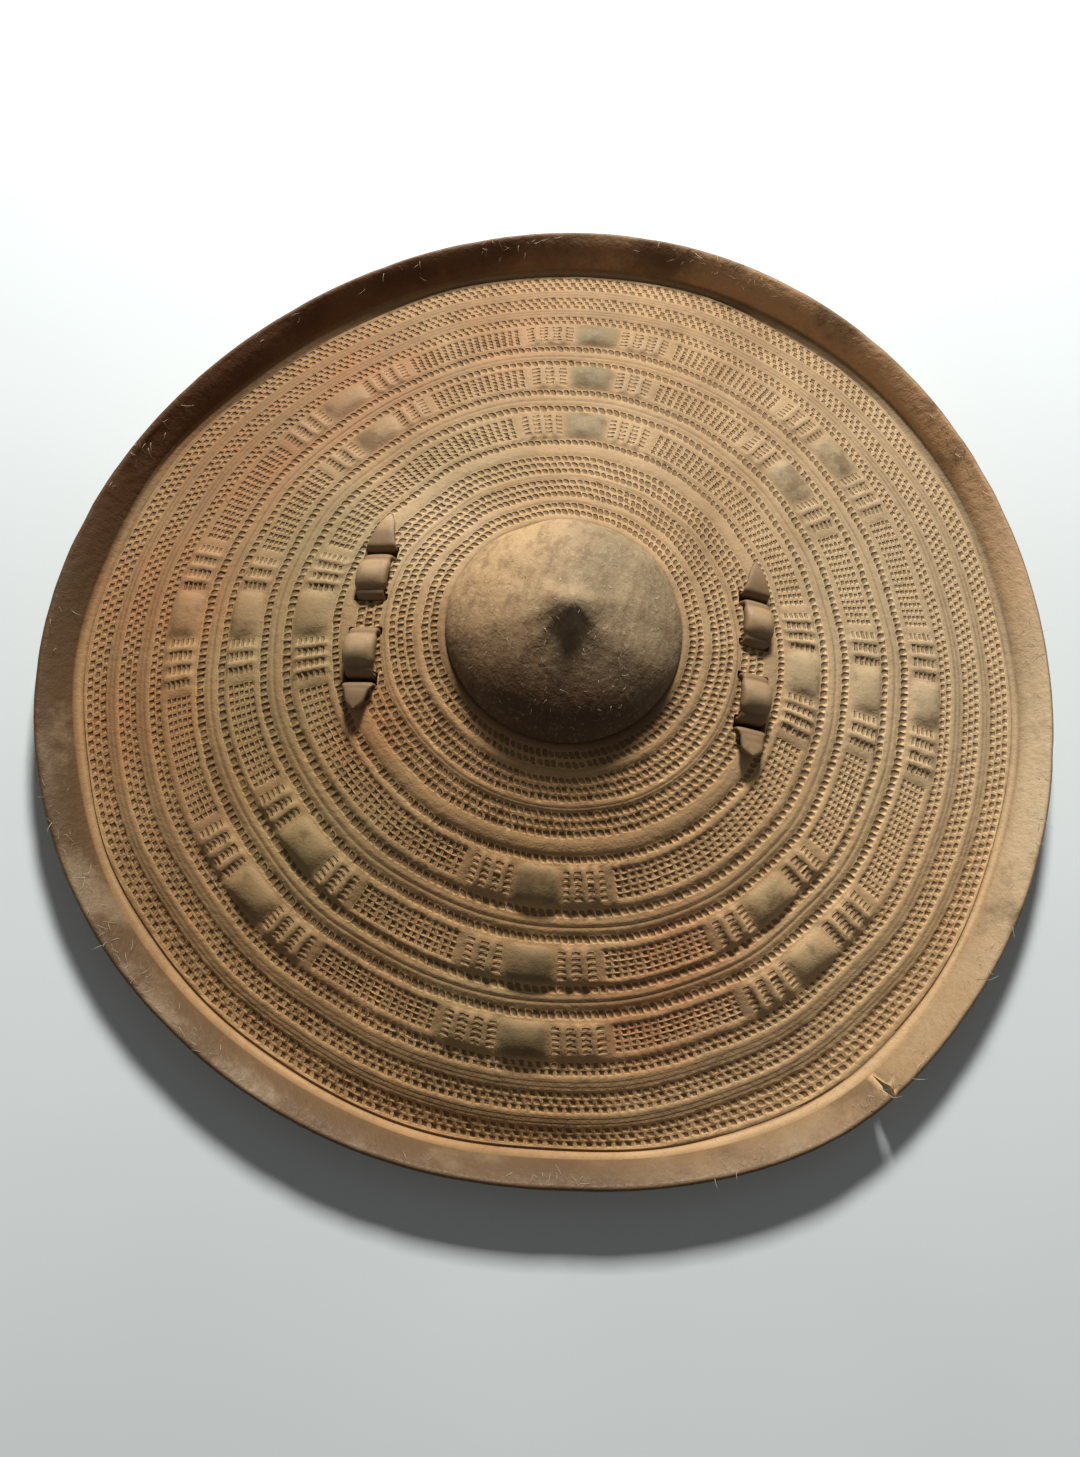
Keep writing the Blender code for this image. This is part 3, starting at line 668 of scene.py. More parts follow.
def field_frame(radius, degrees):
    """Axes on the field: x outwards down the slope, y round the ring, z off the hide."""
    fall = math.atan(field_slope())
    turn = Matrix.Rotation(math.radians(degrees), 4, "Z")
    place = Matrix.Translation((radius, 0.0, float(field_level(np.array(radius)))))
    return turn @ place @ Matrix.Rotation(fall, 4, "Y")


def surface_drop(along):
    """How far the curved field falls below the strap's middle, at a distance along it."""
    fall = math.atan(field_slope())
    level = float(field_level(np.array(STRAP_RADIUS)))
    drop = 0.0
    for _ in range(8):
        radius = math.hypot(STRAP_RADIUS + drop * math.sin(fall), along)
        drop = (float(field_level(np.array(radius))) - level) / math.cos(fall)
    return drop


def join_rows(shape, rows):
    """Join rows of points, each a closed loop, into a tube."""
    for first, second in zip(rows, rows[1:]):
        for c in range(len(first)):
            d = (c + 1) % len(first)
            shape.faces.new((first[c], first[d], second[d], second[c]))


def prism(shape, outline, low, high):
    """Add an upright prism with a given outline, listed anticlockwise, to a bmesh."""
    rows = [[shape.verts.new((x, y, z)) for x, y in outline] for z in (low, high)]
    shape.faces.new(list(reversed(rows[0])))
    shape.faces.new(rows[1])
    join_rows(shape, rows)
    return rows[0] + rows[1]


def slit_outline(half, low, high, mirror):
    """A slit's rectangle with rounded corners, beyond the strap's middle on one side of it."""
    outline = []
    for quarter in range(4):
        corner_x = half - 1.0 if quarter in (0, 3) else 1.0 - half
        corner_y = 0.5 * (high - low) - 1.0
        corner_y = corner_y if quarter in (0, 1) else -corner_y
        for step in range(4):
            turn = math.radians(quarter * 90.0 + step * 30.0)
            outline.append((corner_x + math.cos(turn),
                            corner_y + math.sin(turn) + 0.5 * mirror * (low + high)))
    return outline


def cutters():
    """One object of the eight slits and the crack."""
    shape = bmesh.new()
    inner_half = 0.5 * STRAP_THICKNESS + SLIT_CLEARANCE
    outer_high = OUTER_SLIT_AT + TONGUE_SPACING + 0.5 * TONGUE_THICKNESS + SLIT_CLEARANCE
    spans = ((INNER_SLIT_AT - inner_half, INNER_SLIT_AT + inner_half),
             (OUTER_SLIT_AT - inner_half, outer_high))
    half = 0.5 * STRAP_WIDTH + SLIT_CLEARANCE
    for degrees in STRAP_ANGLES.values():
        frame = field_frame(STRAP_RADIUS, degrees)
        for low, high in spans:
            drop = surface_drop(low)
            for mirror in (-1.0, 1.0):
                for vertex in prism(shape, slit_outline(half, low, high, mirror), drop - 15.0, drop + 15.0):
                    vertex.co = settled(frame @ vertex.co)
    turn = Matrix.Rotation(math.radians(CRACK_ANGLE), 4, "Z")
    for vertex in prism(shape, CRACK_OUTLINE, -55.0, 55.0):
        vertex.co = settled(turn @ vertex.co)
    tool = shape_object("cutters", shape)
    count = len(tool.data.vertices)
    add_marks(tool.data, {mark: np.full(count, float(mark in ("cavity", "edge"))) for mark in MARKS})
    return tool


class Sheet:
    """A node tree being filled in: short calls that add and link its nodes."""

    def __init__(self, tree):
        self.tree = tree

    def feed(self, value, socket):
        """Link a socket, or set a plain value."""
        if isinstance(value, bpy.types.NodeSocket):
            self.tree.links.new(value, socket)
        elif value is not None:
            socket.default_value = value

    def node(self, kind, inputs=(), **settings):
        """Add a node; inputs are given by name or place."""
        made = self.tree.nodes.new(kind)
        for name, value in settings.items():
            setattr(made, name, value)
        for name, value in dict(inputs).items():
            self.feed(value, made.inputs[name])
        return made

    def math(self, operation, first, second=None):
        return self.node("ShaderNodeMath", {0: first, 1: second}, operation=operation).outputs[0]

    def plus(self, first, second):
        return self.math("ADD", first, second)

    def minus(self, first, second):
        return self.math("SUBTRACT", first, second)

    def times(self, first, *others):
        for other in others:
            first = self.math("MULTIPLY", first, other)
        return first

    def vector(self, operation, first, second=None, scale=None):
        inputs = {0: first, 1: second} if scale is None else {0: first, "Scale": scale}
        made = self.node("ShaderNodeVectorMath", inputs, operation=operation)
        return made.outputs["Value" if operation in ("DOT_PRODUCT", "LENGTH") else "Vector"]

    def fade(self, value, low, high, start=0.0, end=1.0):
        """A smooth step from start to end as a value goes from low to high."""
        inputs = {"Value": value, "From Min": low, "From Max": high, "To Min": start, "To Max": end}
        return self.node("ShaderNodeMapRange", inputs, interpolation_type="SMOOTHSTEP").outputs["Result"]

    def noise(self, place, scale, detail=3.0, roughness=0.55):
        inputs = {"Vector": place, "Scale": scale, "Detail": detail, "Roughness": roughness}
        return self.node("ShaderNodeTexNoise", inputs).outputs["Fac"]

    def blend(self, share, first, second, mode="MIX"):
        """Mix two colours."""
        inputs = {0: share, 6: first, 7: second}
        return self.node("ShaderNodeMix", inputs, data_type="RGBA", blend_type=mode).outputs[2]

    def painted(self, base, *layers):
        """Lay colours over a base: each layer is its share, its colour and, unless it's MIX, its mode."""
        for share, tone, *mode in layers:
            base = self.blend(share, base, tone, *mode)
        return base

    def bumps(self, *layers):
        """Bumps one on another: each is its height, its distance and its strength."""
        normal = None
        for height, distance, strength in layers:
            inputs = {"Height": height, "Distance": distance, "Strength": strength, "Normal": normal}
            normal = self.node("ShaderNodeBump", inputs).outputs[0]
        return normal

    def mark(self, name):
        """Read one of the surface's own marks."""
        return self.node("ShaderNodeAttribute", attribute_name=name).outputs["Fac"]

    def stored(self, name, kind="FLOAT"):
        """Read a stored attribute in a geometry tree."""
        made = self.node("GeometryNodeInputNamedAttribute", {"Name": name}, data_type=kind)
        return made.outputs["Attribute"]

    def group(self, tree, inputs):
        return self.node("ShaderNodeGroup", inputs, node_tree=tree).outputs


def tint(values, factor=1.0):
    """A colour, made darker or lighter by a factor."""
    return (*(value * factor for value in values), 1.0)


def new_group(name, kind, inputs, outputs):
    """An empty node group, and its input and output sockets.

    An input is given by its default where it's a number, and by its type otherwise.
    """
    tree = bpy.data.node_groups.new(name, kind)
    for label, value in inputs.items():
        socket_type = {float: "Float", int: "Int"}.get(type(value), value)
        socket = tree.interface.new_socket(label, in_out="INPUT", socket_type=f"NodeSocket{socket_type}")
        if socket_type != value:
            socket.default_value = value
    for label, socket_type in outputs.items():
        tree.interface.new_socket(label, in_out="OUTPUT", socket_type=f"NodeSocket{socket_type}")
    sheet = Sheet(tree)
    return tree, sheet, sheet.node("NodeGroupInput").outputs, sheet.node("NodeGroupOutput").inputs


def shared(name, build):
    """A shader group that is built once and placed in each material that uses it."""
    return bpy.data.node_groups.get(name) or build(name)


def end_tree(sheet, geometry, material, result):
    """The last nodes of a geometry tree: smooth shading, real geometry and its material."""
    for kind in ("GeometryNodeSetShadeSmooth", "GeometryNodeRealizeInstances"):
        geometry = sheet.node(kind, {"Geometry": geometry}).outputs[0]
    finish = sheet.node("GeometryNodeSetMaterial", {"Geometry": geometry, "Material": material})
    sheet.feed(finish.outputs[0], result["Geometry"])


def punch_tree():
    """Geometry Nodes: a sunk, leaning pit in every face marked as a punch cell."""
    tree, sheet, given, result = new_group(
        "punch marks", "GeometryNodeTree",
        {"Geometry": "Geometry", "Depth": 0.001, "Floor Share": 0.45, "Lean": 0.3, "Unevenness": 0.3,
         "Seed": 4, "Material": "Material"}, {"Geometry": "Geometry"})
    node, plus, minus, times, vector = sheet.node, sheet.plus, sheet.minus, sheet.times, sheet.vector

    def store(geometry, name, kind, domain, value, selection=None):
        inputs = {"Geometry": geometry, "Name": name, "Value": value, "Selection": selection}
        return node("GeometryNodeStoreNamedAttribute", inputs, data_type=kind, domain=domain).outputs[0]

    punch = sheet.stored("punch")
    rung = sheet.stored("rung")
    span = {2: minus(1.0, given["Unevenness"]), 3: plus(1.0, given["Unevenness"]), "Seed": given["Seed"]}
    chance = node("FunctionNodeRandomValue", span, data_type="FLOAT").outputs[1]
    shape = store(given["Geometry"], "punch", "FLOAT", "FACE", times(punch, chance))
    position = node("GeometryNodeInputPosition").outputs[0]
    shape = store(shape, "centre", "FLOAT_VECTOR", "FACE", position)
    marked = node("FunctionNodeCompare", {0: punch, 1: 0.01}, data_type="FLOAT", operation="GREATER_THAN")
    extrude = node("GeometryNodeExtrudeMesh", {
        "Mesh": shape, "Selection": marked.outputs[0], "Offset Scale": 0.0, "Individual": True},
        mode="FACES").outputs

    # the floor is drawn in towards the middle of its cell, sheared round the ring and sunk
    centre = sheet.stored("centre", "FLOAT_VECTOR")
    away = vector("SUBTRACT", position, centre)
    normal = node("GeometryNodeInputNormal").outputs[0]
    flat = vector("MULTIPLY", centre, (1.0, 1.0, 0.0))
    around = vector("NORMALIZE", vector("CROSS_PRODUCT", normal, flat))
    outward = vector("CROSS_PRODUCT", around, normal)
    part_round = vector("DOT_PRODUCT", away, around)
    part_out = vector("DOT_PRODUCT", away, outward)
    # a deeper punch is also a wider one
    wide = times(given["Floor Share"], plus(0.35, times(0.65, punch)))
    # marks between ribs are strokes from rib to rib, the others are short and lean round the ring
    wide_round = times(wide, plus(1.0, times(rung, 1.7)))
    wide_out = times(wide, minus(1.5, times(rung, 0.5)))
    lean = times(given["Lean"], minus(1.0, rung))
    new_round = plus(times(part_round, wide_round), times(part_out, lean))
    # strokes are shallower, and their pits are painted less dark, with less dirt and painted shade
    sunk = times(punch, given["Depth"], minus(times(rung, 0.4), 1.0))
    place = centre
    for way, amount in ((around, new_round), (outward, times(part_out, wide_out)), (normal, sunk)):
        place = vector("ADD", place, vector("SCALE", way, scale=amount))
    move = node("GeometryNodeSetPosition", {
        "Geometry": extrude["Mesh"], "Selection": extrude["Top"], "Position": place})
    pit_strength = minus(1.0, times(rung, 0.17))
    shape = store(move.outputs["Geometry"], "pit", "FLOAT", "POINT", pit_strength, extrude["Top"])
    end_tree(sheet, shape, given["Material"], result)
    return tree


def hair_tree():
    """Geometry Nodes: stray hairs that lie on the parts of a surface marked for them."""
    tree, sheet, given, result = new_group(
        "stray hairs", "GeometryNodeTree",
        {"Geometry": "Geometry", "Hair": "Object", "Rim Density": 6000.0, "Boss Density": 30000.0,
         "Rim Length": 1.0, "Boss Length": 0.35, "Seed": 12, "Material": "Material"},
        {"Geometry": "Geometry"})
    node = sheet.node
    hair = node("GeometryNodeObjectInfo", {"Object": given["Hair"]}).outputs["Geometry"]
    both = node("GeometryNodeJoinGeometry")
    for step, (name, least, most) in enumerate((("Rim", 0.9, 1.45), ("Boss", 1.2, 1.5))):
        seed = sheet.plus(given["Seed"], float(step))
        density = sheet.times(sheet.stored(f"{name.lower()}_hair"), given[f"{name} Density"])
        spread = node("GeometryNodeDistributePointsOnFaces", {
            "Mesh": given["Geometry"], "Density": density, "Seed": seed}, distribute_method="RANDOM").outputs
        turn = node("FunctionNodeRandomValue", {
            0: (least, 0.0, 0.0), 1: (most, 0.0, math.tau), "Seed": seed}, data_type="FLOAT_VECTOR")
        bend = node("FunctionNodeEulerToRotation", {0: turn.outputs[0]})
        lay = node("FunctionNodeRotateRotation", {
            "Rotation": spread["Rotation"], "Rotate By": bend.outputs[0]}, rotation_space="LOCAL")
        size = node("FunctionNodeRandomValue", {2: 0.35, 3: 1.0, "Seed": seed}, data_type="FLOAT")
        long = sheet.times(size.outputs[1], given[f"{name} Length"])
        scale = node("ShaderNodeCombineXYZ", {"X": 1.0, "Y": 1.0, "Z": long})
        place = node("GeometryNodeInstanceOnPoints", {
            "Points": spread["Points"], "Instance": hair, "Rotation": lay.outputs[0],
            "Scale": scale.outputs[0]})
        sheet.feed(place.outputs[0], both.inputs[0])
    end_tree(sheet, both.outputs[0], given["Material"], result)
    return tree


def nodes_modifier(piece, tree, values):
    """Give a piece a Geometry Nodes modifier with its inputs set by identifier."""
    modifier = piece.modifiers.new(tree.name, "NODES")
    modifier.node_group = tree
    for item in tree.interface.items_tree:
        if item.in_out == "INPUT" and item.name in values:
            modifier[item.identifier] = values[item.name]


def grain_group(name):
    """Shader group: pores and creases of hide, as a height, and a slow mottle."""
    tree, sheet, given, result = new_group(
        name, "ShaderNodeTree", {"Vector": "Vector", "Pore Scale": 900.0, "Crease Scale": 150.0},
        {"Height": "Float", "Mottle": "Float", "Speck": "Float"})
    place = given["Vector"]
    pores = sheet.node("ShaderNodeTexVoronoi", {"Vector": place, "Scale": given["Pore Scale"]})
    pore = sheet.fade(pores.outputs["Distance"], 0.0, 0.55)
    bent = sheet.noise(place, given["Crease Scale"], 4.0, 0.62)
    crease = sheet.fade(sheet.math("ABSOLUTE", sheet.minus(bent, 0.5)), 0.0, 0.10)
    sheet.feed(sheet.plus(sheet.times(pore, 0.45), sheet.times(crease, 0.55)), result["Height"])
    sheet.feed(sheet.noise(place, 26.0, 5.0, 0.62), result["Mottle"])
    sheet.feed(sheet.fade(sheet.noise(place, 420.0, 3.0, 0.7), 0.54, 0.70), result["Speck"])
    return tree


def stain_group(name):
    """Shader group: a ragged patch round a place on the hide."""
    tree, sheet, given, result = new_group(
        name, "ShaderNodeTree", {"Vector": "Vector", "Place": "Vector", "Reach": 0.04, "Ragged": 0.03},
        {"Mask": "Float"})
    away = sheet.vector("SUBTRACT", given["Vector"], given["Place"])
    distance = sheet.vector("LENGTH", sheet.vector("MULTIPLY", away, (1.0, 1.0, 0.3)))
    rag = sheet.minus(sheet.noise(given["Vector"], 30.0, 4.0, 0.6), 0.5)
    distance = sheet.plus(distance, sheet.times(rag, given["Ragged"]))
    sheet.feed(sheet.fade(sheet.math("DIVIDE", distance, given["Reach"]), 1.15, 0.25), result["Mask"])
    return tree


def relief_group(name):
    """Shader group: where dirt has settled in a worked surface, darkened also as painted shade, and where its
    crests are worn.
    """
    tree, sheet, given, result = new_group(
        name, "ShaderNodeTree", {"Vector": "Vector", "Raised": 0.3, "Cavity": 0.0, "Pit": 0.0},
        {"Dirt": "Float", "Wear": "Float", "Height": "Float"})
    patch = sheet.noise(given["Vector"], 60.0, 4.0, 0.6)
    pit = sheet.fade(given["Pit"], 0.60, 1.0)
    groove = sheet.times(given["Cavity"], sheet.fade(patch, 0.25, 0.75, 0.55, 1.0))
    dirt_and_shade = sheet.math("MAXIMUM", sheet.times(pit, 0.62), groove)
    wear = sheet.fade(sheet.plus(given["Raised"], sheet.times(patch, 0.18)), 0.30, 0.75)
    sheet.feed(dirt_and_shade, result["Dirt"])
    sheet.feed(sheet.times(wear, sheet.minus(1.0, dirt_and_shade)), result["Wear"])
    sheet.feed(sheet.minus(1.0, sheet.fade(given["Pit"], 0.42, 0.90)), result["Height"])
    return tree


def stains(sheet, place, spots):
    """The strongest of several stain patches."""
    total = None
    for x, y, z, reach, strength in spots:
        patch = sheet.group(shared("stain patch", stain_group), {
            "Vector": place, "Place": (x, y, z), "Reach": reach, "Ragged": 0.9 * reach})["Mask"]
        patch = sheet.times(patch, strength)
        total = patch if total is None else sheet.math("MAXIMUM", total, patch)
    return total


# Stain patches in metres: x, y, z, reach and strength
RED_SPOTS = (
    (-0.215, -0.02, 0.015, 0.055, 1.0), (-0.205, 0.065, 0.015, 0.06, 1.0), (-0.15, 0.125, 0.025, 0.06, 0.9),
    (-0.205, -0.085, 0.012, 0.045, 0.7), (0.1, -0.148, 0.03, 0.042, 1.0), (0.086, -0.178, 0.022, 0.04, 0.9),
    (-0.085, -0.072, 0.045, 0.028, 0.5), (-0.075, 0.19, 0.02, 0.05, 0.5), (0.205, -0.06, 0.015, 0.04, 0.3),
)
OLIVE_SPOTS = (
    (-0.14, -0.06, 0.035, 0.06, 1.0), (-0.13, 0.01, 0.04, 0.055, 0.9), (-0.095, -0.135, 0.03, 0.06, 0.8),
    (0.000, -0.190, 0.020, 0.045, 0.6), (0.140, 0.080, 0.035, 0.060, 0.5), (-0.080, 0.080, 0.045, 0.045, 0.5),
    (0.170, -0.020, 0.025, 0.040, 0.5),
)
PALE_SPOTS = ((-0.085, 0.030, 0.045, 0.045, 1.0), (0.020, 0.115, 0.045, 0.060, 0.4))
# painted shade on the boss's near side, and its painted shadow on the field
BOSS_SHADE = (0.085, 0.038, 0.016, 1.0)
# painted shade round the far left of the rim
FAR_LEFT_RIM = (0.070, 0.022, 0.005, 1.0)
# painted highlight round each punch hole
BEAD_HIGHLIGHT_TONE = (1.45, 1.42, 1.36, 1.0)
# painted light: a warmer tint for the near side of the field
NEAR_LIGHT_TINT = (1.07, 0.97, 0.86, 1.0)


def new_material(name):
    """A new material, its sheet and the place that its patterns read."""
    made = bpy.data.materials.new(name)
    made.use_nodes = True
    sheet = Sheet(made.node_tree)
    return made, sheet, sheet.node("ShaderNodeTexCoord").outputs["Object"]


def dress(made, sheet, base, roughness, specular=0.5, normal=None):
    """Feed a material's own shader."""
    shader = made.node_tree.nodes["Principled BSDF"].inputs
    sheet.feed(base, shader["Base Color"])
    sheet.feed(roughness, shader["Roughness"])
    sheet.feed(specular, shader["Specular IOR Level"])
    sheet.feed(normal, shader["Normal"])
    return made


def hide_material(settings):
    """Tooled hide: tan field with stains, dirt and painted shade in the pits, worn crests, painted light and
    shade by side, smooth rim and boss, plain back.
    """
    made, sheet, place = new_material("tooled_hide")
    fade, times = sheet.fade, sheet.times
    tan, pale, dirt_and_shade = settings.tan, settings.pale_tan, settings.dirt_and_shade
    brown, grey = settings.rim_tan, settings.boss_grey
    mark = {name: sheet.mark(name) for name in (*MARKS, "pit")}
    panel = mark["panel"]
    grain = sheet.group(shared("hide grain", grain_group), {
        "Vector": place, "Pore Scale": 900.0, "Crease Scale": 170.0})
    mottle = grain["Mottle"]
    relief = sheet.group(shared("dirt and wear", relief_group), {
        "Vector": place, "Raised": mark["raised"], "Cavity": mark["cavity"], "Pit": mark["pit"]})
    x, y, _ = sheet.node("ShaderNodeSeparateXYZ", {0: place}).outputs
    from_axis = sheet.vector("LENGTH", sheet.vector("MULTIPLY", place, (1.0, 1.0, 0.0)))
    across = sheet.plus(x, times(sheet.minus(mottle, 0.5), 0.16))
    smear = sheet.noise(place, 75.0, 4.0, 0.6)
    cloudy = sheet.noise(place, 19.0, 5.0, 0.65)
    streaks = sheet.noise(sheet.vector("MULTIPLY", place, (1.0, 0.45, 0.7)), 190.0, 4.0, 0.65)
    specks = times(grain["Speck"], 0.34)

    # stains, pale spots, worn crests and darker, greyer near panels; painted light pales the right side and
    # painted shade darkens the left;
    # a painted highlight rings each hole, a warmer painted tint of light lies on the near side, painted shade
    # darkens the far side, and the boss casts a painted shadow round its near foot
    olive = times(stains(sheet, place, OLIVE_SPOTS), fade(mottle, 0.3, 0.6, 0.45, 0.85))
    red = times(stains(sheet, place, RED_SPOTS), fade(mottle, 0.25, 0.6, 0.42, 0.88))
    greyed = times(panel, fade(smear, 0.30, 0.62, 0.55, 1.0), fade(x, -0.14, -0.05, 0.45, 1.0))
    pale_spots_and_painted_light = times(stains(sheet, place, PALE_SPOTS), 0.5)
    pale_spots_and_painted_light = sheet.math("MAXIMUM", fade(across, 0.0, 0.20, 0.0, 0.65), pale_spots_and_painted_light)
    blot = times(panel, fade(smear, 0.50, 0.68, 0.0, 0.6))
    near_panels = times(panel, fade(y, -0.125, -0.155, 0.0, 0.5), fade(x, -0.12, 0.06, 0.3, 1.0))
    bead_highlight = times(fade(mark["pit"], 0.0, 0.35), fade(mark["pit"], 0.80, 0.50), 0.8)
    field = sheet.painted(
        sheet.blend(fade(mottle, 0.32, 0.68), tint(tan, 0.86), tint(tan, 1.12)),
        (olive, tint(settings.olive_stain)),
        (red, tint(settings.red_stain)),
        (greyed, tint(settings.olive_stain, 0.62)),
        # painted light pales the right side, over the real pale spots
        (pale_spots_and_painted_light, tint(pale)),
        # painted shade darkens the left side
        (fade(across, -0.04, -0.24, 0.0, 0.5), tint(tan, 0.62)),
        (times(relief["Wear"], fade(panel, 0.0, 1.0, 0.16, 0.06)), tint(pale)),
        (blot, tint(dirt_and_shade, 1.4)),
        # the panels are darker and greyer towards the near side
        (near_panels, tint(grey, 0.6)),
        # painted highlight: a pale ring round each hole
        (bead_highlight, BEAD_HIGHLIGHT_TONE, "MULTIPLY"),
        # painted light: the near side is tinted warmer
        (fade(y, 0.06, -0.10), NEAR_LIGHT_TINT, "MULTIPLY"),
        # painted shade darkens the far side of the field
        (fade(y, -0.04, 0.16, 0.0, 0.22), tint(dirt_and_shade)),
        # painted shadow of the boss round its foot on the near side
        (times(fade(from_axis, 0.076, 0.061), fade(y, 0.01, -0.05, 0.0, 0.8)), BOSS_SHADE),
        (specks, tint(tan, 0.5)))

    # the rim's colours change by side: painted light makes it pale on the right and lighter on the far side,
    # painted shade makes it browner on the left and darkest round the far left, and it is darker at its near
    # middle
    right_rim_light = sheet.blend(fade(y, -0.17, 0.02), tint(tan, 0.84), tint(pale, 0.9))
    rim = sheet.painted(
        tint(brown),
        # painted light pales the right side
        (fade(across, 0.03, 0.26), right_rim_light),
        # painted shade browns the left side
        (fade(across, -0.04, -0.27, 0.0, 0.75), tint(brown, 0.55)),
        # painted light lightens the far side
        (fade(y, 0.02, 0.20, 0.0, 0.95), tint(settings.far_rim)),
        (fade(cloudy, 0.46, 0.64, 0.0, 0.65), tint(brown, 0.7)),
        (fade(cloudy, 0.48, 0.32, 0.0, 0.3), tint(pale, 0.7)),
        # painted shade, darkest round the far left
        (fade(sheet.minus(y, across), 0.20, 0.34, 0.0, 0.85), FAR_LEFT_RIM),
        (times(fade(y, -0.12, -0.25), fade(across, -0.12, 0.06, 0.0, 0.3)), tint(dirt_and_shade)),
        (times(specks, 0.6), tint(dirt_and_shade)))

    # the boss is greyer; painted shade darkens the near side of the knob and of the boss, and a painted
    # highlight lightens the knob's top
    around_knob = times(fade(from_axis, 0.022, 0.012, 0.0, 0.35), fade(y, 0.001, -0.009))
    boss_shade = sheet.math("MAXIMUM", around_knob, fade(y, 0.006, -0.050, 0.0, 0.9))
    boss = sheet.painted(
        sheet.blend(fade(mottle, 0.35, 0.65), tint(grey, 0.8), tint(grey, 1.25)),
        (fade(x, 0.01, -0.045, 0.0, 0.85), tint(tan, 1.15)),
        (fade(streaks, 0.44, 0.66, 0.0, 0.5), tint(dirt_and_shade, 1.6)),
        # painted highlight on the knob's top
        (times(fade(from_axis, 0.013, 0.005), fade(y, -0.006, 0.002), 0.45), tint(grey, 1.4)),
        (times(boss_shade, fade(mottle, 0.25, 0.55, 0.5, 1.0)), BOSS_SHADE),
        (times(grain["Speck"], 0.25), tint(pale)))

    flesh = fade(sheet.noise(place, 16.0, 5.0, 0.6), 0.28, 0.74)
    flesh = sheet.blend(flesh, tint(tan, 0.80), tint(pale, 0.62))
    # pits and grooves darken with dirt and painted shade
    body = sheet.painted(
        field, (mark["rim"], rim), (mark["boss"], boss), (relief["Dirt"], tint(dirt_and_shade)), (mark["back"], flesh),
        (times(mark["edge"], 0.72), tint(dirt_and_shade, 1.1)))
    rough = sheet.minus(fade(grain["Height"], 0.2, 0.9, 0.86, 0.70), times(mark["rim"], 0.16))
    rough = sheet.minus(rough, times(relief["Wear"], 0.10))
    normal = sheet.bumps(
        (relief["Height"], 0.0011, 1.0),
        (sheet.noise(place, 210.0, 3.0, 0.55), 0.0011, sheet.minus(0.5, times(panel, 0.3))),
        (streaks, 0.0011, times(mark["boss"], 0.7)),
        (grain["Height"], 0.00016, 0.6))
    return dress(made, sheet, body, rough, 0.22, normal)


def strap_material(settings):
    """Strap hide: smoother and a little greyer than the field, with painted shade at its edges, bends and
    hidden parts, and pale crowns that are partly wear and partly painted highlight.
    """
    made, sheet, place = new_material("strap_hide")
    grain = sheet.group(shared("hide grain", grain_group), {
        "Vector": place, "Pore Scale": 1100.0, "Crease Scale": 120.0})
    worn = sheet.mark("worn")
    tan = settings.tan
    body = sheet.painted(
        sheet.blend(sheet.fade(grain["Mottle"], 0.3, 0.7), tint(tan, 0.70), tint(tan, 0.96)),
        # painted shade where the mark is low
        (sheet.fade(worn, 0.6, 0.0, 0.0, 0.75), tint(settings.dirt_and_shade)),
        # paler crowns: wear and painted highlight
        (sheet.fade(worn, 0.75, 1.0, 0.0, 0.28), tint(settings.pale_tan)),
        (sheet.times(grain["Speck"], 0.25), tint(settings.dirt_and_shade)))
    rough = sheet.fade(grain["Height"], 0.2, 0.9, 0.78, 0.58)
    return dress(made, sheet, body, rough, 0.35, sheet.bumps((grain["Height"], 0.00012, 0.5)))


def hair_material():
    """Pale dry hair."""
    made, sheet, place = new_material("stray_hair")
    shade = sheet.blend(sheet.noise(place, 140.0, 2.0), tint((0.42, 0.34, 0.24)), tint((0.86, 0.78, 0.64)))
    return dress(made, sheet, shade, 0.55)


def floor_material(settings):
    """Plain pale floor with the faintest unevenness."""
    made, sheet, place = new_material("pale_floor")
    share = sheet.fade(sheet.noise(place, 3.0, 3.0), 0.3, 0.7)
    shade = sheet.blend(share, tint(settings.floor_colour, 0.97), tint(settings.floor_colour, 1.02))
    return dress(made, sheet, shade, 0.6, 0.25)


def smooth_mesh(mesh):
    mesh.shade_smooth()
    mesh.set_sharp_from_angle(angle=SHARP_ANGLE)


class SHIELD_OT_hide(bpy.types.Operator):
    """Build the tooled hide with its rings, panels, punch marks, slits and crack"""

    bl_idname = "shield.hide"
    bl_label = "Build Hide"

    def execute(self, context):
        settings = context.scene.hide_shield
        web = Web()
        back_rings(web, front_rings(web, settings))
        piece = new_object("tooled_hide_disc", web_mesh(web, "tooled_hide_disc"))
        combine(piece, cutters(), "DIFFERENCE")
        finish = hide_material(settings)
        nodes_modifier(piece, punch_tree(), {
            "Depth": settings.punch_depth, "Floor Share": settings.punch_share, "Lean": settings.punch_lean,
            "Unevenness": settings.punch_unevenness, "Seed": 4, "Material": finish})
        made_plain(piece)
        for name in ("centre", "punch", "rung"):
            piece.data.attributes.remove(piece.data.attributes[name])
        smooth_mesh(piece.data)
        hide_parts("hide")
        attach(piece, "root")
        return {"FINISHED"}


def strand_gap():
    """Height of the front strand's bend centre."""
    return BROAD_RIDGE_HEIGHT + STRAP_LIFT + 0.5 * STRAP_THICKNESS - STRAP_BEND


def arc(centre, start, end, steps=8):
    """Points on a strap bend."""
    turns = [math.radians(start + (end - start) * step / steps) for step in range(steps + 1)]
    return [(centre[0] + STRAP_BEND * math.cos(turn), centre[1] + STRAP_BEND * math.sin(turn))
            for turn in turns]


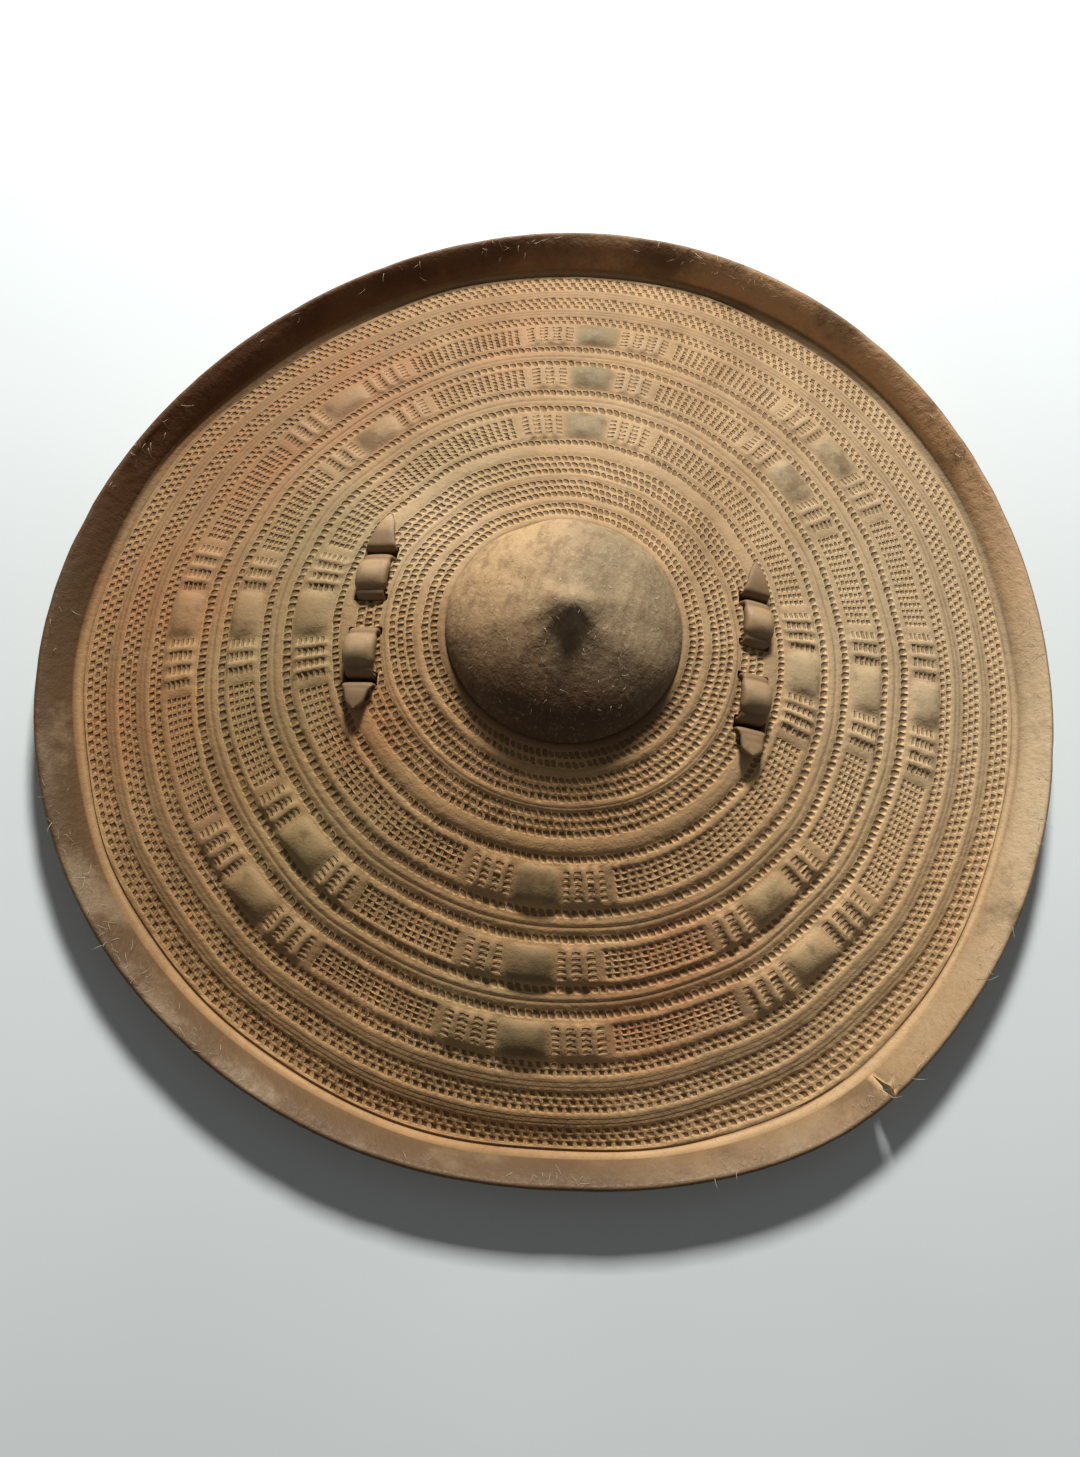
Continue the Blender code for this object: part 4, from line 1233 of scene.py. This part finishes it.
def strap_route():
    """The strap's own route: along the ring and off the hide, with the pillow share of each point."""
    over = strand_gap()
    under = -HIDE_THICKNESS - over
    top = under - ARCH_START
    half = []
    for step in range(19):
        turn = math.radians(-90.0 + 5.0 * step)
        half.append((OUTER_SLIT_AT * math.cos(turn), top + ARCH_DEPTH * math.sin(turn), 0.0))
    half += [(OUTER_SLIT_AT, top + (over - top) * step / 4.0, 0.0) for step in (1, 2, 3)]
    half += [(x, y, 0.1) for x, y in arc((OUTER_SLIT_AT - STRAP_BEND, over), 0.0, 90.0)]
    span = OUTER_SLIT_AT - INNER_SLIT_AT - 2.0 * STRAP_BEND
    for step in range(1, 12):
        share = step / 12.0
        bulge = math.sin(math.pi * share) ** 0.8
        half.append((OUTER_SLIT_AT - STRAP_BEND - span * share, over + STRAP_BEND + 1.5 * bulge, bulge))
    half += [(x, y, 0.1) for x, y in arc((INNER_SLIT_AT + STRAP_BEND, over), 90.0, 180.0)]
    half += [(x, y, 0.0) for x, y in arc((INNER_SLIT_AT + STRAP_BEND, under), 180.0, 270.0)]
    half += [(INNER_SLIT_AT + STRAP_BEND + step * 3.0, under - STRAP_BEND, 0.0) for step in (1, 2, 3, 4)]
    half.append((OUTER_SLIT_AT - RETURN_GAP, under - STRAP_BEND, 0.0))
    return [(-along, off, share) for along, off, share in reversed(half[1:])] + half


def tongue_route(tail):
    """The thinned end: through the strap, up its slit and out along the front."""
    length, _, _, rise = tail
    over = strand_gap()
    under = -HIDE_THICKNESS - over
    rise_at = OUTER_SLIT_AT + TONGUE_SPACING
    route = [(OUTER_SLIT_AT - RETURN_GAP - TONGUE_OVERLAP * share, under - STRAP_BEND, 0.0)
             for share in (1.0, 0.5)]
    route += [(x, y, 0.0) for x, y in arc((rise_at - STRAP_BEND, under), -90.0, 0.0)]
    route += [(x, y, 0.0) for x, y in arc((rise_at + STRAP_BEND, over), 180.0, 90.0)]
    for step in range(1, 15):
        share = math.sin(0.5 * math.pi * step / 14.0)
        lift = rise * share ** 1.6 + 0.6 * math.sin(math.pi * share)
        route.append((rise_at + STRAP_BEND + length * share, over + STRAP_BEND + lift, 0.4 + 0.5 * share))
    return route


def tongue_half(along, tail):
    """Half width of the tongue, which tapers to its rounded tip."""
    length, tip_width, taper, _ = tail
    start = OUTER_SLIT_AT + TONGUE_SPACING + 0.5 * STRAP_BEND
    end = OUTER_SLIT_AT + TONGUE_SPACING + STRAP_BEND + length
    share = float(ramp(along, start, end))
    half = 0.5 * (TONGUE_WIDTH + (tip_width - TONGUE_WIDTH) * share ** taper)
    past = max(share - 1.0 + TAIL_ROUND, 0.0) / TAIL_ROUND
    return max(half * math.sqrt(1.0 - min(past, 0.97) ** 2), 0.54 * TONGUE_THICKNESS)


def strap_section(half, thickness, bulge, swell):
    """Outline of a strap: rounded edges, and a crown on its outer side."""
    points = []
    top = 0.5 * thickness + swell * bulge
    for step in range(24):
        turn = math.radians(15.0 * step)
        out = math.cos(turn)
        reach = top if out > 0.0 else 0.5 * thickness
        roll = 0.5 + 0.25 * bulge if out > 0.0 else 0.4
        side = math.copysign(abs(math.sin(turn)) ** 0.75, math.sin(turn))
        points.append((side * half, math.copysign(abs(out) ** roll, out) * reach))
    return points


def strap_strip(name, route, half_width, thickness, frame, swell, outer, mirror=1.0):
    """Sweep a strap's section along a route; outer is 1 where its outer side is on the left, else -1."""
    shape = bmesh.new()
    layer = shape.verts.layers.float.new("worn")
    rows = []
    for index, (along, off, share) in enumerate(route):
        before = route[max(index - 1, 0)]
        after = route[min(index + 1, len(route) - 1)]
        run, climb = after[0] - before[0], after[1] - before[1]
        length = math.hypot(run, climb)
        shown = share > 0.05
        follow = min(max((off + HIDE_THICKNESS + ARCH_START + ARCH_DEPTH) / ARCH_DEPTH, 0.0), 1.0)
        drop = surface_drop(along) * follow
        half = half_width(abs(along)) * (1.0 - 0.17 * (1.0 - min(share / 0.6, 1.0)) if shown else 1.0)
        row = []
        for across, out in strap_section(half, thickness, share, swell):
            step = outer * out
            place = Vector((
                across, (along - climb / length * step) * mirror, off + run / length * step + drop))
            vertex = shape.verts.new(settled(frame @ place))
            # the mark is high on a pillow's crown, for wear and painted highlight, and low at the edges and
            # out of sight, for painted shade
            crown = 1.0 - (across / half) ** 4
            vertex[layer] = 0.2 + 0.75 * share * crown if out > 0.0 and shown else 0.2
            row.append(vertex)
        rows.append(row)
    join_rows(shape, rows)
    shape.faces.new(rows[0])
    shape.faces.new(rows[-1])
    bmesh.ops.recalc_face_normals(shape, faces=shape.faces)
    return shape_object(name, shape)


class SHIELD_OT_straps(bpy.types.Operator):
    """Lace the two hide straps through their slits"""

    bl_idname = "shield.straps"
    bl_label = "Build Straps"

    def execute(self, context):
        settings = context.scene.hide_shield
        finish = strap_material(settings)
        for node, degrees in STRAP_ANGLES.items():
            frame = field_frame(STRAP_RADIUS, degrees)
            name = f"laced_{node}"
            piece = strap_strip(f"{name}_own", strap_route(), lambda _: 0.5 * STRAP_WIDTH, STRAP_THICKNESS,
                                frame, settings.pillow_swell / MM, -1.0)
            for mirror in (-1.0, 1.0):
                # the strap's frame turns with it, so its near end is on the other hand on the left
                near = (mirror > 0.0) == (degrees > 90.0)
                tail = TAILS[node][near]
                tongue = strap_strip(
                    f"{name}_tongue", tongue_route(tail), lambda along: tongue_half(along, tail),
                    TONGUE_THICKNESS, frame, 1.1 if near else 0.4, 1.0, mirror)
                combine(piece, tongue, "UNION")
            piece.name = name
            piece.data.name = name
            piece.data.materials.clear()
            piece.data.materials.append(finish)
            smooth_mesh(piece.data)
            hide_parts(node)
            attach(piece, "root")
        return {"FINISHED"}


def one_hair(length, width):
    """A bent tapering hair that stands up from the origin."""
    shape = bmesh.new()
    rows = []
    for step, thin in enumerate((1.0, 0.9, 0.65)):
        share = step / 3.0
        bend = 0.22 * length * share * share
        rows.append([shape.verts.new((0.5 * width * thin * math.cos(turn) + bend,
                                      0.5 * width * thin * math.sin(turn), length * share))
                     for turn in (0.0, 2.094, 4.189)])
    tip = shape.verts.new((0.22 * length, 0.0, length * 0.96))
    join_rows(shape, rows)
    for c in range(3):
        shape.faces.new((rows[-1][c], rows[-1][(c + 1) % 3], tip))
    shape.faces.new(list(reversed(rows[0])))
    return shape_object("one_hair", shape)


def hair_ground():
    """A plain sheet of the rim and boss, marked where hair is left."""
    web = Web()
    previous = None
    angle = ring_angles(HAIR_COLUMNS, 0)
    for radius in (*BOSS_HAIR_RADII, *RIM_HAIR_RADII):
        radii = np.full(HAIR_COLUMNS, radius)
        level = front_level(radii)
        if radius > ZONES[-1][2][-1]:
            level = np.full(HAIR_COLUMNS, lip_point(-0.2, 0.1)[1])
        ring = web.ring(radii, angle, level, {})
        if previous is not None and radius != RIM_HAIR_RADII[0]:
            web.join(previous, ring)
        previous = ring
    mesh = web_mesh(web, "hair_ground")
    radius = np.repeat((*BOSS_HAIR_RADII, *RIM_HAIR_RADII), HAIR_COLUMNS)
    angle = np.tile(angle, len(radius) // HAIR_COLUMNS)
    tufts = np.clip(0.5 + 0.9 * ripple(angle, radius * 0.0, 21, (3, 24), 0.0), 0.0, 2.0)
    add_marks(mesh, {"rim_hair": (radius > BOSS_RADIUS) * tufts, "boss_hair": (radius < BOSS_RADIUS) * 1.0})
    return new_object("stray_hairs", mesh)


class SHIELD_OT_hairs(bpy.types.Operator):
    """Lay stray hairs on the rim and the boss"""

    bl_idname = "shield.hairs"
    bl_label = "Grow Stray Hairs"

    def execute(self, context):
        settings = context.scene.hide_shield
        strand = one_hair(settings.hair_length, settings.hair_width)
        ground = hair_ground()
        nodes_modifier(ground, hair_tree(), {
            "Hair": strand, "Rim Density": settings.rim_hairs / RIM_HAIR_AREA,
            "Boss Density": settings.boss_hairs / BOSS_HAIR_AREA,
            "Rim Length": 1.0, "Boss Length": 0.4, "Seed": 12, "Material": hair_material()})
        made_plain(ground)
        bpy.data.objects.remove(strand)
        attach(ground, "root")
        return {"FINISHED"}


def area_light(name, place, aim, size, power, tone):
    light = bpy.data.lights.new(name, "AREA")
    light.shape = "RECTANGLE"
    light.size, light.size_y = size
    light.energy = power
    light.color = tone
    holder = new_object(name, light)
    holder.location = place
    holder.rotation_mode = "QUATERNION"
    holder.rotation_quaternion = (Vector(aim) - Vector(place)).to_track_quat("-Z", "Y")


class SHIELD_OT_stage(bpy.types.Operator):
    """Set the floor, the light and the camera"""

    bl_idname = "shield.stage"
    bl_label = "Set Stage"

    def execute(self, context):
        settings = context.scene.hide_shield
        scene = context.scene
        shape = bmesh.new()
        bmesh.ops.create_circle(shape, cap_ends=True, cap_tris=False, segments=96, radius=FLOOR_RADIUS)
        floor = shape_object("floor", shape)
        floor.data.materials.append(floor_material(settings))

        area_light("window_light", LIGHT_PLACE, LIGHT_AIM, LIGHT_SIZE, settings.light_power, LIGHT_TONE)
        world = bpy.data.worlds.new("studio")
        world.use_nodes = True
        background = world.node_tree.nodes["Background"]
        background.inputs["Color"].default_value = ROOM_TONE
        background.inputs["Strength"].default_value = ROOM_STRENGTH
        scene.world = world
        scene.view_settings.view_transform = "Standard"

        # the camera stands where the photograph was taken, rolled a little
        height, roll = math.radians(CAMERA_HEIGHT), math.radians(CAMERA_ROLL)
        place = Vector((0.0, -CAMERA_REACH * math.cos(height), CAMERA_REACH * math.sin(height)))
        forward = (Vector(CAMERA_AIM) - place).normalized()
        right = forward.cross(Vector((0.0, 0.0, 1.0))).normalized()
        up = right.cross(forward)
        turned_right = right * math.cos(roll) + up * math.sin(roll)
        turned_up = up * math.cos(roll) - right * math.sin(roll)
        turn = Matrix((turned_right, turned_up, -forward)).transposed()
        lens = bpy.data.cameras.new("camera")
        lens.sensor_fit = "AUTO"
        lens.sensor_width = SENSOR_WIDTH
        lens.lens = SENSOR_WIDTH * FOCAL_PIXELS / PHOTO_HEIGHT
        lens.clip_start = 0.01
        camera = new_object("camera", lens)
        camera.rotation_mode = "QUATERNION"
        camera.rotation_quaternion = turn.to_quaternion()
        camera.location = place + Vector(settle_shift() * MM)
        scene.camera = camera
        return {"FINISHED"}


class SHIELD_PT_panel(bpy.types.Panel):
    """Sidebar panel with the shield's sizes, colours and builders"""

    bl_label = "Hide Shield"
    bl_idname = "SHIELD_PT_panel"
    bl_space_type = "VIEW_3D"
    bl_region_type = "UI"
    bl_category = "Hide Shield"

    def draw(self, context):
        settings = context.scene.hide_shield
        for name in ShieldSettings.__annotations__:
            self.layout.prop(settings, name)
        for operator in OPERATORS:
            self.layout.operator(operator.bl_idname)


OPERATORS = (SHIELD_OT_hide, SHIELD_OT_straps, SHIELD_OT_hairs, SHIELD_OT_stage)
CLASSES = (ShieldSettings, *OPERATORS, SHIELD_PT_panel)


def register():
    for item in CLASSES:
        bpy.utils.register_class(item)
    bpy.types.Scene.hide_shield = PointerProperty(type=ShieldSettings)


def unregister():
    del bpy.types.Scene.hide_shield
    for item in reversed(CLASSES):
        bpy.utils.unregister_class(item)


def main():
    register()
    bpy.ops.shield.hide()
    bpy.ops.shield.straps()
    bpy.ops.shield.hairs()
    bpy.ops.shield.stage()


if __name__ == "__main__":
    main()
